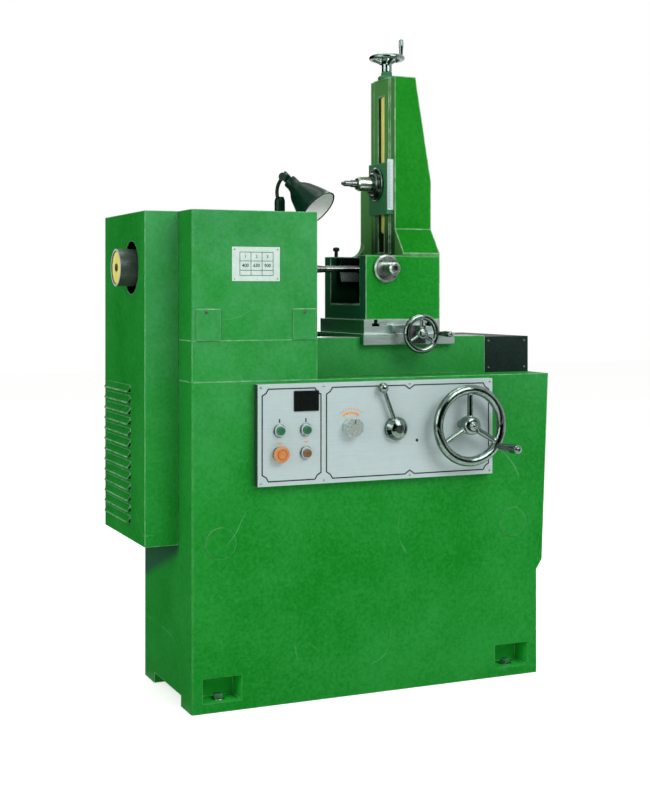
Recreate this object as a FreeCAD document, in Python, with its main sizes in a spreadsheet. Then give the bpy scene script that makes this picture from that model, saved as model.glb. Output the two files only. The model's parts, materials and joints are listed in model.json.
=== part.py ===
import FreeCAD
import Part
import Sketcher
import math
import os
from collections import namedtuple
from types import SimpleNamespace

# A boring machine for connecting rods: cabinet, bed, headstock, table with fixture and column.
# X runs along the bed, Y to the back, Z up. Places along X and Y are measured from the
# cabinet's front left edge, heights from the floor.

Circle = namedtuple("Circle", "across up radius")

driving_sizes = {
    # The origin lies under the middle of the whole machine.
    "left_reach": 438, "front_reach": 157,
    # Clearances: sliding faces, running shafts, fixed fits, gaps round loose pieces.
    "slide_gap": 0.1, "run_gap": 0.05, "fit_gap": 0.05, "free_gap": 0.4,
    # Base cabinet
    "cabinet_width": 967, "cabinet_depth": 396, "cabinet_height": 800, "cabinet_wall": 12,
    "cabinet_top_width": 1004, "step_height": 276, "step_rise": 26, "step_out": 17,
    "floor_height": 112, "floor_plate": 16, "top_plate": 20, "cabinet_round": 6,
    "relief_height": 27, "foot_length": 85, "skirt": 40, "foot_block": 150,
    "foot_pocket_width": 100, "foot_pocket_height": 60, "foot_pocket_depth": 64,
    "foot_ledge": 24, "foot_inset": 28, "anchor_radius": 9, "anchor_setback": 33,
    "rear_margin": 60, "rear_lap": 18, "rear_sheet": 3,
    "plug_radius": 39, "plug_raise": 2, "plug_inset": 74, "plug_height": 408,
    # Bed
    "bed_height": 100, "bed_setback": 102, "bed_depth": 368, "bed_length": 867,
    "trough_start": 345, "trough_front": 200, "trough_rear": 380, "trough_floor": 22,
    "end_guard_length": 137, "end_guard_sheet": 3, "end_guard_drop": 3,
    # Headstock and spindle
    "head_width": 328, "head_depth": 475, "head_height": 317, "head_wall": 14,
    "axis_height": 1079, "axis_depth": 223, "barrel_radius": 60,
    "bearing_radius": 40, "bearing_width": 26, "bearing_inset": 10,
    "spindle_radius": 22, "nose_radius": 18, "nose_start": 4, "tail_radius": 15,
    "bar_radius": 8.5, "taper_length": 116, "bar_length": 109, "bar_shank_radius": 9,
    "bar_shank_length": 60, "cutter_reach": 3, "cutter_width": 6, "cutter_setback": 12,
    "cover_width": 61, "cover_height": 76, "cover_raise": 4, "cover_inset": 5,
    "plate_left": 102, "plate_bottom": 1044, "plate_width": 125, "plate_height": 84,
    "plate_sheet": 1.5,
    # Belt drive
    "pulley_start": 12, "pulley_width": 50, "spindle_pulley_radius": 70,
    "motor_pulley_radius": 45, "motor_height": 500, "belt_thick": 6, "belt_inset": 4,
    "groove_depth": 7, "groove_width": 9, "pulley_web": 10, "pulley_hub": 26,
    "motor_shaft_radius": 14, "motor_radius": 82, "motor_length": 250, "motor_flange": 100,
    "flange_thick": 12, "fan_length": 52, "motor_hole": 60, "fin_depth": 6, "fin_width": 8,
    "disc_radius": 47, "disc_out": 40, "disc_length": 60, "disc_recess": 6, "disc_rim": 5,
    # Belt guard
    "guard_out": 87, "guard_front": 102, "guard_back": 477, "guard_bottom": 393,
    "guard_sheet": 3, "guard_gap": 0.5, "guard_hole": 67,
    "louvre_count": 13, "louvre_pitch": 27.5, "louvre_lowest": 434, "louvre_front": 228,
    "louvre_rear": 452, "louvre_slot": 12, "louvre_out": 9, "louvre_rise": 18,
    "hinge_out": 8, "hinge_behind": 484, "hinge_radius": 5, "hinge_pin": 2.5,
    "hinge_knuckle": 22, "hinge_leaf": 30, "hinge_low": 840, "hinge_high": 1140,
    "hinge_leaf_thick": 3,
    # Control panel
    "panel_left": 160, "panel_width": 657, "panel_bottom": 543, "panel_height": 249,
    "panel_out": 24, "panel_sheet": 3, "panel_wall": 5,
    "window_left": 190, "window_right": 455, "window_bottom": 570, "window_top": 772,
    "display_left": 255, "display_width": 66, "display_bottom": 724, "display_height": 50,
    "display_out": 3, "display_depth": 20,
    "button_left": 217, "button_right": 287, "button_high": 678, "button_low": 621,
    "button_radius": 10, "button_out": 10, "bezel_wall": 4, "bezel_out": 7, "stem_radius": 7,
    "stem_length": 34, "press_travel": 4,
    "mushroom_radius": 20, "mushroom_thick": 9, "stop_bezel_radius": 16,
    "knob_across": 410, "knob_up": 680, "knob_size": 46, "knob_out": 24, "knob_shaft": 5,
    "knob_shaft_length": 30, "knob_gap": 1,
    "lever_across": 532, "lever_up": 672, "lever_disc": 30, "lever_dome": 18,
    "lever_shaft": 8, "lever_arm_radius": 5, "lever_arm_length": 112, "lever_lean": 21,
    "lever_ball": 13, "lever_disc_out": 30, "valve_size": 75, "valve_depth": 50,
    "oil_hole_across": 595, "oil_hole_up": 639, "oil_hole": 4,
    # Table handwheel and its gearing
    "wheel_across": 727, "wheel_up": 675, "wheel_rim_radius": 96, "wheel_rim": 9,
    "wheel_hub": 21, "wheel_spoke": 7, "wheel_out": 65, "wheel_hub_out": 84,
    "grip_length": 101, "grip_radius": 9, "grip_swell": 3, "grip_angle": -35,
    "pinion_shaft_radius": 14, "pinion_radius": 20, "idler_radius": 88.5, "rack_drop": 59.6,
    "idler_shaft": 12, "gear_front": 256, "gear_width": 20, "idler_web": 8,
    "idler_rim": 12, "idler_hub": 24, "gear_slot": 94, "gear_side": 8,
    # Saddle and cross slide
    "saddle_left": 494, "saddle_length": 268, "saddle_thick": 8, "saddle_front": 81,
    "saddle_lip": 20, "saddle_back": 470, "keel_drop": 40, "keel_width": 46,
    "dovetail_left": 577, "dovetail_width": 102, "dovetail_rise": 23, "dovetail_lean": 15,
    "dovetail_front": 84, "dovetail_back": 440, "rack_left": 500, "rack_length": 256,
    "lug_left": 497, "lug_thick": 18, "lug_width": 60, "lug_drop": 68,
    "cylinder_depth": 340, "cylinder_up": 858, "cylinder_radius": 30, "cylinder_left": 690,
    "cylinder_length": 305, "cap_length": 12, "cap_raise": 3, "piston_bore": 22,
    "piston_at": 812, "piston_width": 15, "rod_radius": 10, "cradle_width": 24,
    "cross_left": 505, "cross_width": 224, "cross_thick": 37, "cross_front": 102,
    "cross_length": 286, "slot_neck": 10, "slot_foot": 22, "slot_foot_height": 8,
    "slot_depth": 18, "slot_inset": 34,
    "cross_wheel_across": 643, "cross_wheel_up": 909, "cross_screw_radius": 7,
    "cross_screw_back": 254, "channel_width": 28, "nut_front": 221, "nut_length": 14,
    "nut_drop": 14, "bracket_width": 44, "bracket_bottom": 882, "bracket_height": 48,
    "bracket_thick": 20, "cross_rim_radius": 46, "cross_rim": 6.5, "cross_hub": 13,
    "cross_spoke": 5, "cross_rim_out": 42, "cross_hub_length": 24,
    "cross_grip_length": 70, "cross_grip_radius": 6, "cross_grip_swell": 2,
    # Fixture
    "fixture_left": 510, "fixture_width": 219, "fixture_front": 102, "fixture_depth": 266,
    "fixture_top": 1115, "fixture_wall": 38, "well_bottom": 985, "well_right": 705,
    "deck": 17, "well_top_right": 606, "fixture_round": 4,
    "clamp_across": 568, "clamp_radius": 16, "clamp_front": 43, "clamp_spigot": 9,
    "clamp_spigot_length": 12, "nut_radius": 37, "nut_thick": 12, "socket_radius": 8,
    "socket_depth": 16, "jaw_length": 76, "jaw_height": 66, "jaw_thick": 30, "vee_depth": 12,
    "jaw_gap": 6, "stud_across": 536, "stud_radius": 5, "stud_height": 27, "stud_knob": 9,
    "stud_knob_height": 12,
    # Column
    "column_left": 620, "column_front": 152, "column_depth": 148, "column_top": 1597,
    "column_top_width": 62, "taper_start": 1317, "flare_top": 1187, "flare_bottom": 1121,
    "screw_radius": 15, "screw_setback": 1, "slot_clear": 4,
    "slot_back_gap": 9, "slot_bottom": 1125, "slot_end": 48, "thread_bottom": 1178,
    "rail_thick": 6, "rail_width": 92, "rail_foot": 6,
    "heel_start": 1330, "heel_top": 1300, "gusset": 36, "gusset_thick": 22,
    "journal_radius": 7, "head_journal": 9, "cap_radius": 24, "cap_thick": 9, "cap_boss": 15,
    "cap_boss_height": 10,
    "column_rim_radius": 44, "column_rim": 6, "column_hub": 13.5, "column_spoke": 4.5,
    "column_rim_rise": 58, "column_hub_height": 16, "column_grip_length": 49,
    "column_grip_radius": 5, "column_grip_swell": 2,
    # Carriage
    "carriage_thick": 20, "carriage_front": 160, "carriage_width": 112, "carriage_bottom": 1227,
    "carriage_height": 139, "tongue_bottom": 1272, "tongue_height": 60, "nut_wall": 3,
    "pin_up": 1310, "flange_radius": 45, "flange_edge": 7, "flange_out": 16, "flange_step": 31,
    "sleeve_radius": 20,
    "sleeve_length": 44, "pin_radius": 10, "pin_length": 16, "pin_step_radius": 8,
    "pin_step_length": 20, "pin_tip_radius": 4, "pin_tip_length": 8, "pin_seat": 12,
    "scale_thick": 2, "scale_bottom": 1238, "scale_height": 136, "scale_inset": 1,
    # Hydraulic unit
    "tank_left": 400, "tank_width": 240, "tank_front": 60, "tank_depth": 240,
    "tank_height": 210, "pump_radius": 62, "pump_height": 190, "pump_cap": 8,
    # Lamp
    "lamp_across": 312, "lamp_depth": 212, "lamp_disc": 15, "lamp_disc_height": 7,
    "lamp_post": 8, "lamp_post_height": 48, "collar_radius": 14, "collar_height": 34,
    "collar_wall": 2.4, "pivot_right": 11, "pivot_front": 14,
    "arm_radius": 5, "arm_bow": 9, "lamp_pivot": 54, "eye_radius": 11, "eye_thick": 14,
    "pivot_radius": 4, "tongue_thick": 7, "socket_start": 13, "lamp_socket": 18,
    "socket_length": 34, "shade_length": 82, "shade_mouth": 55, "shade_wall": 1.5,
    "lamp_tilt": 42,
}


class Size:
    """A number together with the expression that ties it to the sheet."""

    def __init__(self, value, text):
        self.value = float(value)
        self.text = text

    def __add__(self, other):
        other = as_size(other)
        return Size(self.value + other.value, f"({self.text} + {other.text})")

    def __sub__(self, other):
        other = as_size(other)
        return Size(self.value - other.value, f"({self.text} - {other.text})")

    def __mul__(self, other):
        other = as_size(other)
        return Size(self.value * other.value, f"({self.text} * {other.text})")

    def __truediv__(self, other):
        other = as_size(other)
        return Size(self.value / other.value, f"({self.text} / {other.text})")

    def __neg__(self):
        return Size(-self.value, f"(0 - {self.text})")

    def __radd__(self, other):
        return as_size(other) + self

    def __rsub__(self, other):
        return as_size(other) - self

    def __rmul__(self, other):
        return as_size(other) * self


def square_root(item):
    return Size(math.sqrt(item.value), f"sqrt({item.text})")


def as_size(item):
    if isinstance(item, Size):
        return item
    return Size(item, f"({float(item)!r})")


def fill_sheet(document, sizes):
    sheet = document.addObject("Spreadsheet::Sheet", "Sizes")
    tied = {}
    for row, (alias, number) in enumerate(sizes.items(), start=1):
        cell = f"A{row}"
        sheet.set(cell, str(number))
        sheet.setAlias(cell, alias)
        tied[alias] = Size(number, f"Sizes.{alias}")
    document.recompute()
    return SimpleNamespace(**tied)


doc = FreeCAD.newDocument("boring_machine")
size = fill_sheet(doc, driving_sizes)
left = -size.left_reach
front = -size.front_reach
pieces = []

# Directions for turned pieces: each turns the piece's own Z axis to the named direction.
to_right = FreeCAD.Rotation(FreeCAD.Vector(0, 1, 0), 90)
to_left = FreeCAD.Rotation(FreeCAD.Vector(0, 1, 0), -90)
to_front = FreeCAD.Rotation(FreeCAD.Vector(1, 0, 0), 90)
upward = FreeCAD.Rotation()


def new_piece(label, at=(0, 0, 0), turned=upward):
    body = doc.addObject("PartDesign::Body", label)
    body.Label = label
    body.Placement = FreeCAD.Placement(FreeCAD.Vector(), turned)
    for letter, amount in zip("xyz", at):
        body.setExpression(f"Placement.Base.{letter}", as_size(amount).text)
    pieces.append(body)
    return body


def origin_part(body, role):
    return next(item for item in body.Origin.OriginFeatures if item.Role == role)


def pin_point(sketch, curve, spot, across, up):
    for kind, amount in (("DistanceX", as_size(across)), ("DistanceY", as_size(up))):
        held = sketch.addConstraint(Sketcher.Constraint(kind, -1, 1, curve, spot, amount.value))
        sketch.setExpression(f"Constraints[{held}]", amount.text)


def draw(sketch, shape):
    if isinstance(shape, Circle):
        middle = FreeCAD.Vector(as_size(shape.across).value, as_size(shape.up).value, 0)
        radius = as_size(shape.radius)
        curve = sketch.addGeometry(Part.Circle(middle, FreeCAD.Vector(0, 0, 1), radius.value))
        pin_point(sketch, curve, 3, shape.across, shape.up)
        held = sketch.addConstraint(Sketcher.Constraint("Radius", curve, radius.value))
        sketch.setExpression(f"Constraints[{held}]", radius.text)
        return
    corners = [FreeCAD.Vector(as_size(a).value, as_size(b).value, 0) for a, b in shape]
    following = corners[1:] + corners[:1]
    sides = [sketch.addGeometry(Part.LineSegment(p, q)) for p, q in zip(corners, following)]
    for side, after in zip(sides, sides[1:] + sides[:1]):
        sketch.addConstraint(Sketcher.Constraint("Coincident", side, 2, after, 1))
    for side, (across, up) in zip(sides, shape):
        pin_point(sketch, side, 1, across, up)


def sketch_on(body, plane, height, shapes):
    sketch = body.newObject("Sketcher::SketchObject", f"{body.Label}_outline")
    sketch.AttachmentSupport = [(origin_part(body, f"{plane}_Plane"), "")]
    sketch.MapMode = "FlatFace"
    away = -as_size(height) if plane == "XZ" else as_size(height)
    sketch.setExpression("AttachmentOffset.Base.z", away.text)
    for shape in shapes:
        draw(sketch, shape)
    return sketch


def pad(body, plane, low, high, *shapes):
    """Adds outlines drawn on a plane, from low to high along the third axis."""
    start = high if plane == "XZ" else low
    feature = body.newObject("PartDesign::Pad", f"{body.Label}_pad")
    feature.Profile = sketch_on(body, plane, start, shapes)
    feature.setExpression("Length", (as_size(high) - low).text)
    body.Tip = feature
    return feature


def cut(body, plane, low, high, *shapes):
    """Takes outlines away from low to high, and makes sure that material went."""
    doc.recompute()
    before = body.Shape.Volume
    start = low if plane == "XZ" else high
    feature = body.newObject("PartDesign::Pocket", f"{body.Label}_pocket")
    feature.Profile = sketch_on(body, plane, start, shapes)
    feature.setExpression("Length", (as_size(high) - low).text)
    body.Tip = feature
    doc.recompute()
    if not body.Shape.Volume < before - 0.01:
        raise ValueError(f"a pocket of {body.Label} takes nothing away")
    return feature


def spin(body, *shapes):
    """Turns outlines, given as radius and height, about the piece's own Z axis."""
    feature = body.newObject("PartDesign::Revolution", f"{body.Label}_turned")
    sketch = sketch_on(body, "XZ", 0, shapes)
    feature.Profile = sketch
    feature.ReferenceAxis = (sketch, ["V_Axis"])
    feature.Angle = 360
    body.Tip = feature
    return feature


def groove(body, *shapes):
    doc.recompute()
    before = body.Shape.Volume
    feature = body.newObject("PartDesign::Groove", f"{body.Label}_groove")
    sketch = sketch_on(body, "XZ", 0, shapes)
    feature.Profile = sketch
    feature.ReferenceAxis = (sketch, ["V_Axis"])
    feature.Angle = 360
    body.Tip = feature
    doc.recompute()
    if not body.Shape.Volume < before - 0.01:
        raise ValueError(f"a groove of {body.Label} takes nothing away")
    return feature


def repeat_round(body, feature, count):
    pattern = body.newObject("PartDesign::PolarPattern", f"{body.Label}_round")
    pattern.Originals = [feature]
    pattern.Axis = (origin_part(body, "Z_Axis"), [""])
    pattern.Angle = 360
    pattern.Occurrences = count
    body.Tip = pattern
    return pattern


def repeat_along(body, feature, role, length, count):
    pattern = body.newObject("PartDesign::LinearPattern", f"{body.Label}_row")
    pattern.Originals = [feature]
    pattern.Direction = (origin_part(body, role), [""])
    pattern.setExpression("Length", as_size(length).text)
    pattern.setExpression("Occurrences", as_size(count).text)
    body.Tip = pattern
    return pattern


def round_edges(body, radius, wanted):
    """Rounds the edges whose ends both satisfy wanted, a test on a point."""
    doc.recompute()
    base = body.Tip
    names = []
    for number, edge in enumerate(base.Shape.Edges, start=1):
        if all(wanted(vertex.Point) for vertex in edge.Vertexes):
            names.append(f"Edge{number}")
    feature = body.newObject("PartDesign::Fillet", f"{body.Label}_rounded")
    feature.Base = (base, names)
    feature.setExpression("Radius", as_size(radius).text)
    body.Tip = feature


def rectangle(left_side, bottom, right_side, top):
    return [(left_side, bottom), (right_side, bottom), (right_side, top), (left_side, top)]


def near(number, amount):
    return abs(number - as_size(amount).value) < 0.01


# Shared places, worked out from the driving sizes
bed_top = size.cabinet_height + size.bed_height
bed_front = front + size.bed_setback
bed_back = bed_front + size.bed_depth
cabinet_back = front + size.cabinet_depth
axis_y = front + size.axis_depth
panel_face = front - size.panel_out
saddle_top = bed_top + size.saddle_thick
cross_bottom = saddle_top + size.slide_gap
cross_top = saddle_top + size.cross_thick
clamp_x = left + size.clamp_across
clamp_z = size.axis_height
column_x = left + size.column_left
screw_x = column_x - size.rail_thick + size.screw_setback + size.screw_radius
slot_width = 2 * (size.screw_radius + size.slot_clear)
slot_top = size.column_top - size.slot_end
lamp_reach = square_root(size.pivot_right * size.pivot_right + size.pivot_front * size.pivot_front)
lamp_heading = FreeCAD.Rotation(
    FreeCAD.Vector(1, 0, 0), FreeCAD.Vector(size.pivot_right.value, -size.pivot_front.value, 0)
)
column_wheel_up = size.column_top + size.column_rim_rise
fixture_x = left + size.fixture_left
fixture_y = front + size.fixture_front
well_front = fixture_y + size.fixture_wall
well_back = fixture_y + size.fixture_depth - size.fixture_wall
pulley_end = left - size.pulley_start
rack_bottom = size.cabinet_height + size.bed_height - size.rack_drop
idler_up = rack_bottom - size.free_gap - size.idler_radius
gear_reach = size.pinion_radius + size.idler_radius
gear_rise = idler_up - size.wheel_up
idler_x = left + size.wheel_across - square_root(gear_reach * gear_reach - gear_rise * gear_rise)


def base_cabinet():
    body = new_piece("base_cabinet")
    right = left + size.cabinet_width
    step_top = size.step_height + size.step_rise
    outline = [
        (left, 0),
        (right, 0),
        (right, size.step_height),
        (right + size.step_out, step_top),
        (left + size.cabinet_top_width, size.cabinet_height),
        (left, size.cabinet_height),
    ]
    pad(body, "XZ", front, cabinet_back, outline)
    round_edges(body, size.cabinet_round, lambda p: near(p.x, left) and near(p.y, front))
    foot_x = [left + size.foot_inset, right - size.foot_inset - size.foot_pocket_width]
    plug_x = [left + size.plug_inset, right - size.plug_inset]
    plugs = [Circle(x, size.plug_height, size.plug_radius) for x in plug_x]
    pad(body, "XZ", front - size.plug_raise, front, *plugs)
    room = rectangle(
        left + size.cabinet_wall,
        size.floor_height,
        right - size.cabinet_wall,
        size.cabinet_height - size.top_plate,
    )
    cut(body, "XZ", front + size.cabinet_wall, cabinet_back - size.cabinet_wall, room)
    opening = rectangle(
        left + size.rear_margin,
        size.floor_height + size.rear_lap,
        right - size.rear_margin,
        size.cabinet_height - size.rear_margin,
    )
    cut(body, "XZ", cabinet_back - size.cabinet_wall, cabinet_back, opening)
    window = rectangle(
        left + size.window_left, size.window_bottom, left + size.window_right, size.window_top
    )
    shafts = [
        Circle(left + size.wheel_across, size.wheel_up, size.pinion_shaft_radius + size.run_gap),
        Circle(idler_x, idler_up, size.idler_shaft + size.run_gap),
        Circle(left + size.lever_across, size.lever_up, size.lever_shaft + size.run_gap),
    ]
    cut(body, "XZ", front, front + size.cabinet_wall, window, *shafts)
    cut(
        body, "YZ", left, right,
        rectangle(front + size.foot_length, 0, cabinet_back - size.foot_length, size.relief_height),
    )
    cut(
        body, "XY", 0, size.floor_height - size.floor_plate,
        rectangle(
            left + size.foot_block, front + size.skirt,
            right - size.foot_block, cabinet_back - size.skirt,
        ),
    )
    pockets = [
        rectangle(
            x, size.foot_ledge, x + size.foot_pocket_width, size.foot_ledge + size.foot_pocket_height
        )
        for x in foot_x
    ]
    cut(body, "XZ", front, front + size.foot_pocket_depth, *pockets)
    cut(body, "XZ", cabinet_back - size.foot_pocket_depth, cabinet_back, *pockets)
    anchors = [
        Circle(x + size.foot_pocket_width / 2, y, size.anchor_radius)
        for x in foot_x
        for y in (front + size.anchor_setback, cabinet_back - size.anchor_setback)
    ]
    cut(body, "XY", 0, size.foot_ledge, *anchors)
    cut(body, "YZ", left, left + size.cabinet_wall, Circle(axis_y, size.motor_height, size.motor_hole))
    cut(body, "XY", size.cabinet_height - size.top_plate, size.cabinet_height, gear_slot())


def gear_slot():
    """The slot through which the idler gear reaches the rack."""
    middle = idler_x
    return rectangle(
        middle - size.gear_slot,
        front + size.gear_front - size.gear_side,
        middle + size.gear_slot,
        front + size.gear_front + size.gear_width + size.gear_side,
    )


def rear_access_cover():
    body = new_piece("rear_access_cover")
    right = left + size.cabinet_width
    lap = size.rear_margin - size.rear_lap
    sheet = rectangle(left + lap, size.floor_height, right - lap, size.cabinet_height - lap)
    pad(body, "XZ", cabinet_back, cabinet_back + size.rear_sheet, sheet)


def bed():
    body = new_piece("bed")
    head_right = left + size.head_width
    bed_right = left + size.bed_length
    outline = [
        (left, front),
        (head_right, front),
        (head_right, bed_front),
        (bed_right, bed_front),
        (bed_right, bed_back),
        (left, bed_back),
    ]
    pad(body, "XY", size.cabinet_height, bed_top, outline)
    trough = rectangle(
        left + size.trough_start, front + size.trough_front, bed_right, front + size.trough_rear
    )
    cut(body, "XY", size.cabinet_height + size.trough_floor, bed_top, trough)
    cut(body, "XY", size.cabinet_height, size.cabinet_height + size.trough_floor, gear_slot())


def bed_end_guard():
    body = new_piece("bed_end_guard")
    start = left + size.bed_length
    end = start + size.end_guard_length
    sheet = size.end_guard_sheet
    top = bed_top - size.end_guard_drop
    pad(body, "XY", size.cabinet_height, top, rectangle(start, bed_front, end, bed_back))
    room = rectangle(start, bed_front + sheet, end - sheet, bed_back - sheet)
    cut(body, "XY", size.cabinet_height, top - sheet, room)


def headstock_housing():
    body = new_piece("headstock_housing")
    right = left + size.head_width
    back = front + size.head_depth
    top = bed_top + size.head_height
    pad(body, "XY", bed_top, top, rectangle(left, front, right, back))
    round_edges(body, size.cabinet_round, lambda p: near(p.y, front) and near(p.x, left))
    inset = size.cover_inset
    covers = [
        rectangle(x, bed_top, x + size.cover_width, bed_top + size.cover_height)
        for x in (left + inset + size.cabinet_round, right - inset - size.cover_width)
    ]
    pad(body, "XZ", front - size.cover_raise, front, *covers)
    wall = size.head_wall
    cut(body, "XY", bed_top, top - wall, rectangle(left + wall, front + wall, right - wall, back - wall))
    pad(body, "YZ", left, right, Circle(axis_y, size.axis_height, size.barrel_radius))
    bore = Circle(axis_y, size.axis_height, size.bearing_radius + size.fit_gap)
    cut(body, "YZ", left, right, bore)


def speed_plate():
    body = new_piece("speed_plate")
    x = left + size.plate_left
    z = size.plate_bottom
    sheet = rectangle(x, z, x + size.plate_width, z + size.plate_height)
    pad(body, "XZ", front - size.plate_sheet, front, sheet)


def bearing(label, start):
    body = new_piece(label, (start, axis_y, size.axis_height), to_right)
    inner = size.spindle_radius + size.run_gap
    spin(body, rectangle(inner, 0, size.bearing_radius, size.bearing_width))


def spindle():
    body = new_piece("spindle", (left, axis_y, size.axis_height), to_right)
    nose = size.head_width + size.nose_start
    tail = -(size.pulley_start + size.pulley_width + size.disc_length)
    outline = [
        (0, tail),
        (size.tail_radius, tail),
        (size.tail_radius, -size.bearing_inset / 2),
        (size.spindle_radius, -size.bearing_inset / 2),
        (size.spindle_radius, nose),
        (size.bar_shank_radius + size.fit_gap, nose),
        (size.bar_shank_radius + size.fit_gap, nose - size.bar_shank_length),
        (0, nose - size.bar_shank_length),
    ]
    spin(body, outline)


def boring_bar():
    nose = left + size.head_width + size.nose_start
    body = new_piece("boring_bar", (nose, axis_y, size.axis_height), to_right)
    end = size.taper_length + size.bar_length
    outline = [
        (0, -size.bar_shank_length + size.free_gap),
        (size.bar_shank_radius, -size.bar_shank_length + size.free_gap),
        (size.bar_shank_radius, 0),
        (size.nose_radius, 0),
        (size.bar_radius, size.taper_length),
        (size.bar_radius, end),
        (0, end),
    ]
    spin(body, outline)
    half = size.cutter_width / 2
    tip = end - size.cutter_setback
    cutter = rectangle(-half, tip - half, half, tip + half)
    pad(body, "YZ", 0, size.bar_radius + size.cutter_reach, cutter)


def pulley_outline(radius, bore):
    """A pulley with three belt grooves, as radius against height."""
    width = size.pulley_width
    rows = 3
    outline = [(bore, 0), (radius, 0)]
    for row in range(rows):
        middle = width * (row + 0.5) / rows
        half = size.groove_width / 2
        outline.append((radius, middle - half))
        outline.append((radius - size.groove_depth, middle - half / 2))
        outline.append((radius - size.groove_depth, middle + half / 2))
        outline.append((radius, middle + half))
    outline.append((radius, width))
    outline.append((bore, width))
    return outline


def spindle_pulley():
    body = new_piece("spindle_pulley", (pulley_end, axis_y, size.axis_height), to_left)
    spin(body, pulley_outline(size.spindle_pulley_radius, size.tail_radius + size.fit_gap))
    rim_inside = size.spindle_pulley_radius - size.groove_depth - size.pulley_web
    hollow = rectangle(size.pulley_hub, size.pulley_web, rim_inside, size.pulley_width)
    groove(body, hollow)


def hand_disc():
    start = pulley_end - size.pulley_width
    body = new_piece("hand_disc", (start, axis_y, size.axis_height), to_left)
    length = size.guard_out + size.disc_out - size.pulley_start - size.pulley_width
    bore = size.tail_radius + size.fit_gap
    recess = length - size.disc_recess
    neck = size.guard_out - size.pulley_start - size.pulley_width - size.disc_recess
    outline = [
        (bore, 0),
        (size.pulley_hub, 0),
        (size.pulley_hub, neck),
        (size.disc_radius, neck),
        (size.disc_radius, length),
        (size.disc_radius - size.disc_rim, length),
        (size.disc_radius - size.disc_rim, recess),
        (bore, recess),
    ]
    spin(body, outline)


def motor_pulley():
    body = new_piece("motor_pulley", (pulley_end, axis_y, size.motor_height), to_left)
    outline = pulley_outline(size.motor_pulley_radius, 0)
    inside = -(size.pulley_start + size.cabinet_wall + size.flange_thick + size.bar_shank_length)
    outline[0] = (size.motor_shaft_radius, 0)
    outline = [(0, inside), (size.motor_shaft_radius, inside)] + outline
    spin(body, outline)


def drive_motor():
    start = left + size.cabinet_wall
    body = new_piece("drive_motor", (start, axis_y, size.motor_height), to_right)
    bore = size.motor_shaft_radius + size.run_gap
    depth = size.flange_thick + size.bar_shank_length + size.free_gap
    end = size.motor_length
    outline = [
        (bore, 0),
        (size.motor_flange, 0),
        (size.motor_flange, size.flange_thick),
        (size.motor_radius, size.flange_thick),
        (size.motor_radius, end),
        (size.motor_radius + size.fin_depth, end),
        (size.motor_radius + size.fin_depth, end + size.fan_length),
        (0, end + size.fan_length),
        (0, depth),
        (bore, depth),
    ]
    spin(body, outline)
    half = size.fin_width / 2
    fin = rectangle(size.motor_radius - half, -half, size.motor_radius + size.fin_depth, half)
    repeat_round(body, pad(body, "XY", size.flange_thick, end, fin), 16)


def drive_belt():
    """One flat belt round both pulleys, in the two lines and two arcs of an open drive."""
    gap = size.free_gap.value
    reach = size.axis_height.value - size.motor_height.value
    big = size.spindle_pulley_radius.value + gap
    small = size.motor_pulley_radius.value + gap
    y = axis_y.value
    low = size.motor_height.value
    high = size.axis_height.value
    x = (pulley_end - size.pulley_width + size.belt_inset).value
    lean = math.asin((big - small) / reach)

    def spot(radius, z, angle):
        return FreeCAD.Vector(x, y + radius * math.cos(angle), z + radius * math.sin(angle))

    def loop(extra):
        a, b = big + extra, small + extra
        far = math.pi + lean
        top = Part.Arc(spot(a, high, -lean), spot(a, high, math.pi / 2), spot(a, high, far))
        bottom = Part.Arc(spot(b, low, far), spot(b, low, -math.pi / 2), spot(b, low, -lean))
        sides = [
            Part.LineSegment(spot(a, high, far), spot(b, low, far)),
            Part.LineSegment(spot(b, low, -lean), spot(a, high, -lean)),
        ]
        edges = [top.toShape(), sides[0].toShape(), bottom.toShape(), sides[1].toShape()]
        return Part.Face(Part.Wire(edges))

    width = (size.pulley_width - 2 * size.belt_inset).value
    band = loop(size.belt_thick.value).cut(loop(0)).extrude(FreeCAD.Vector(width, 0, 0))
    belt = doc.addObject("Part::Feature", "drive_belt")
    belt.Label = "drive_belt"
    belt.Shape = band.Solids[0]
    pieces.append(belt)


def hinge_place():
    return left - size.hinge_out, front + size.hinge_behind


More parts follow.
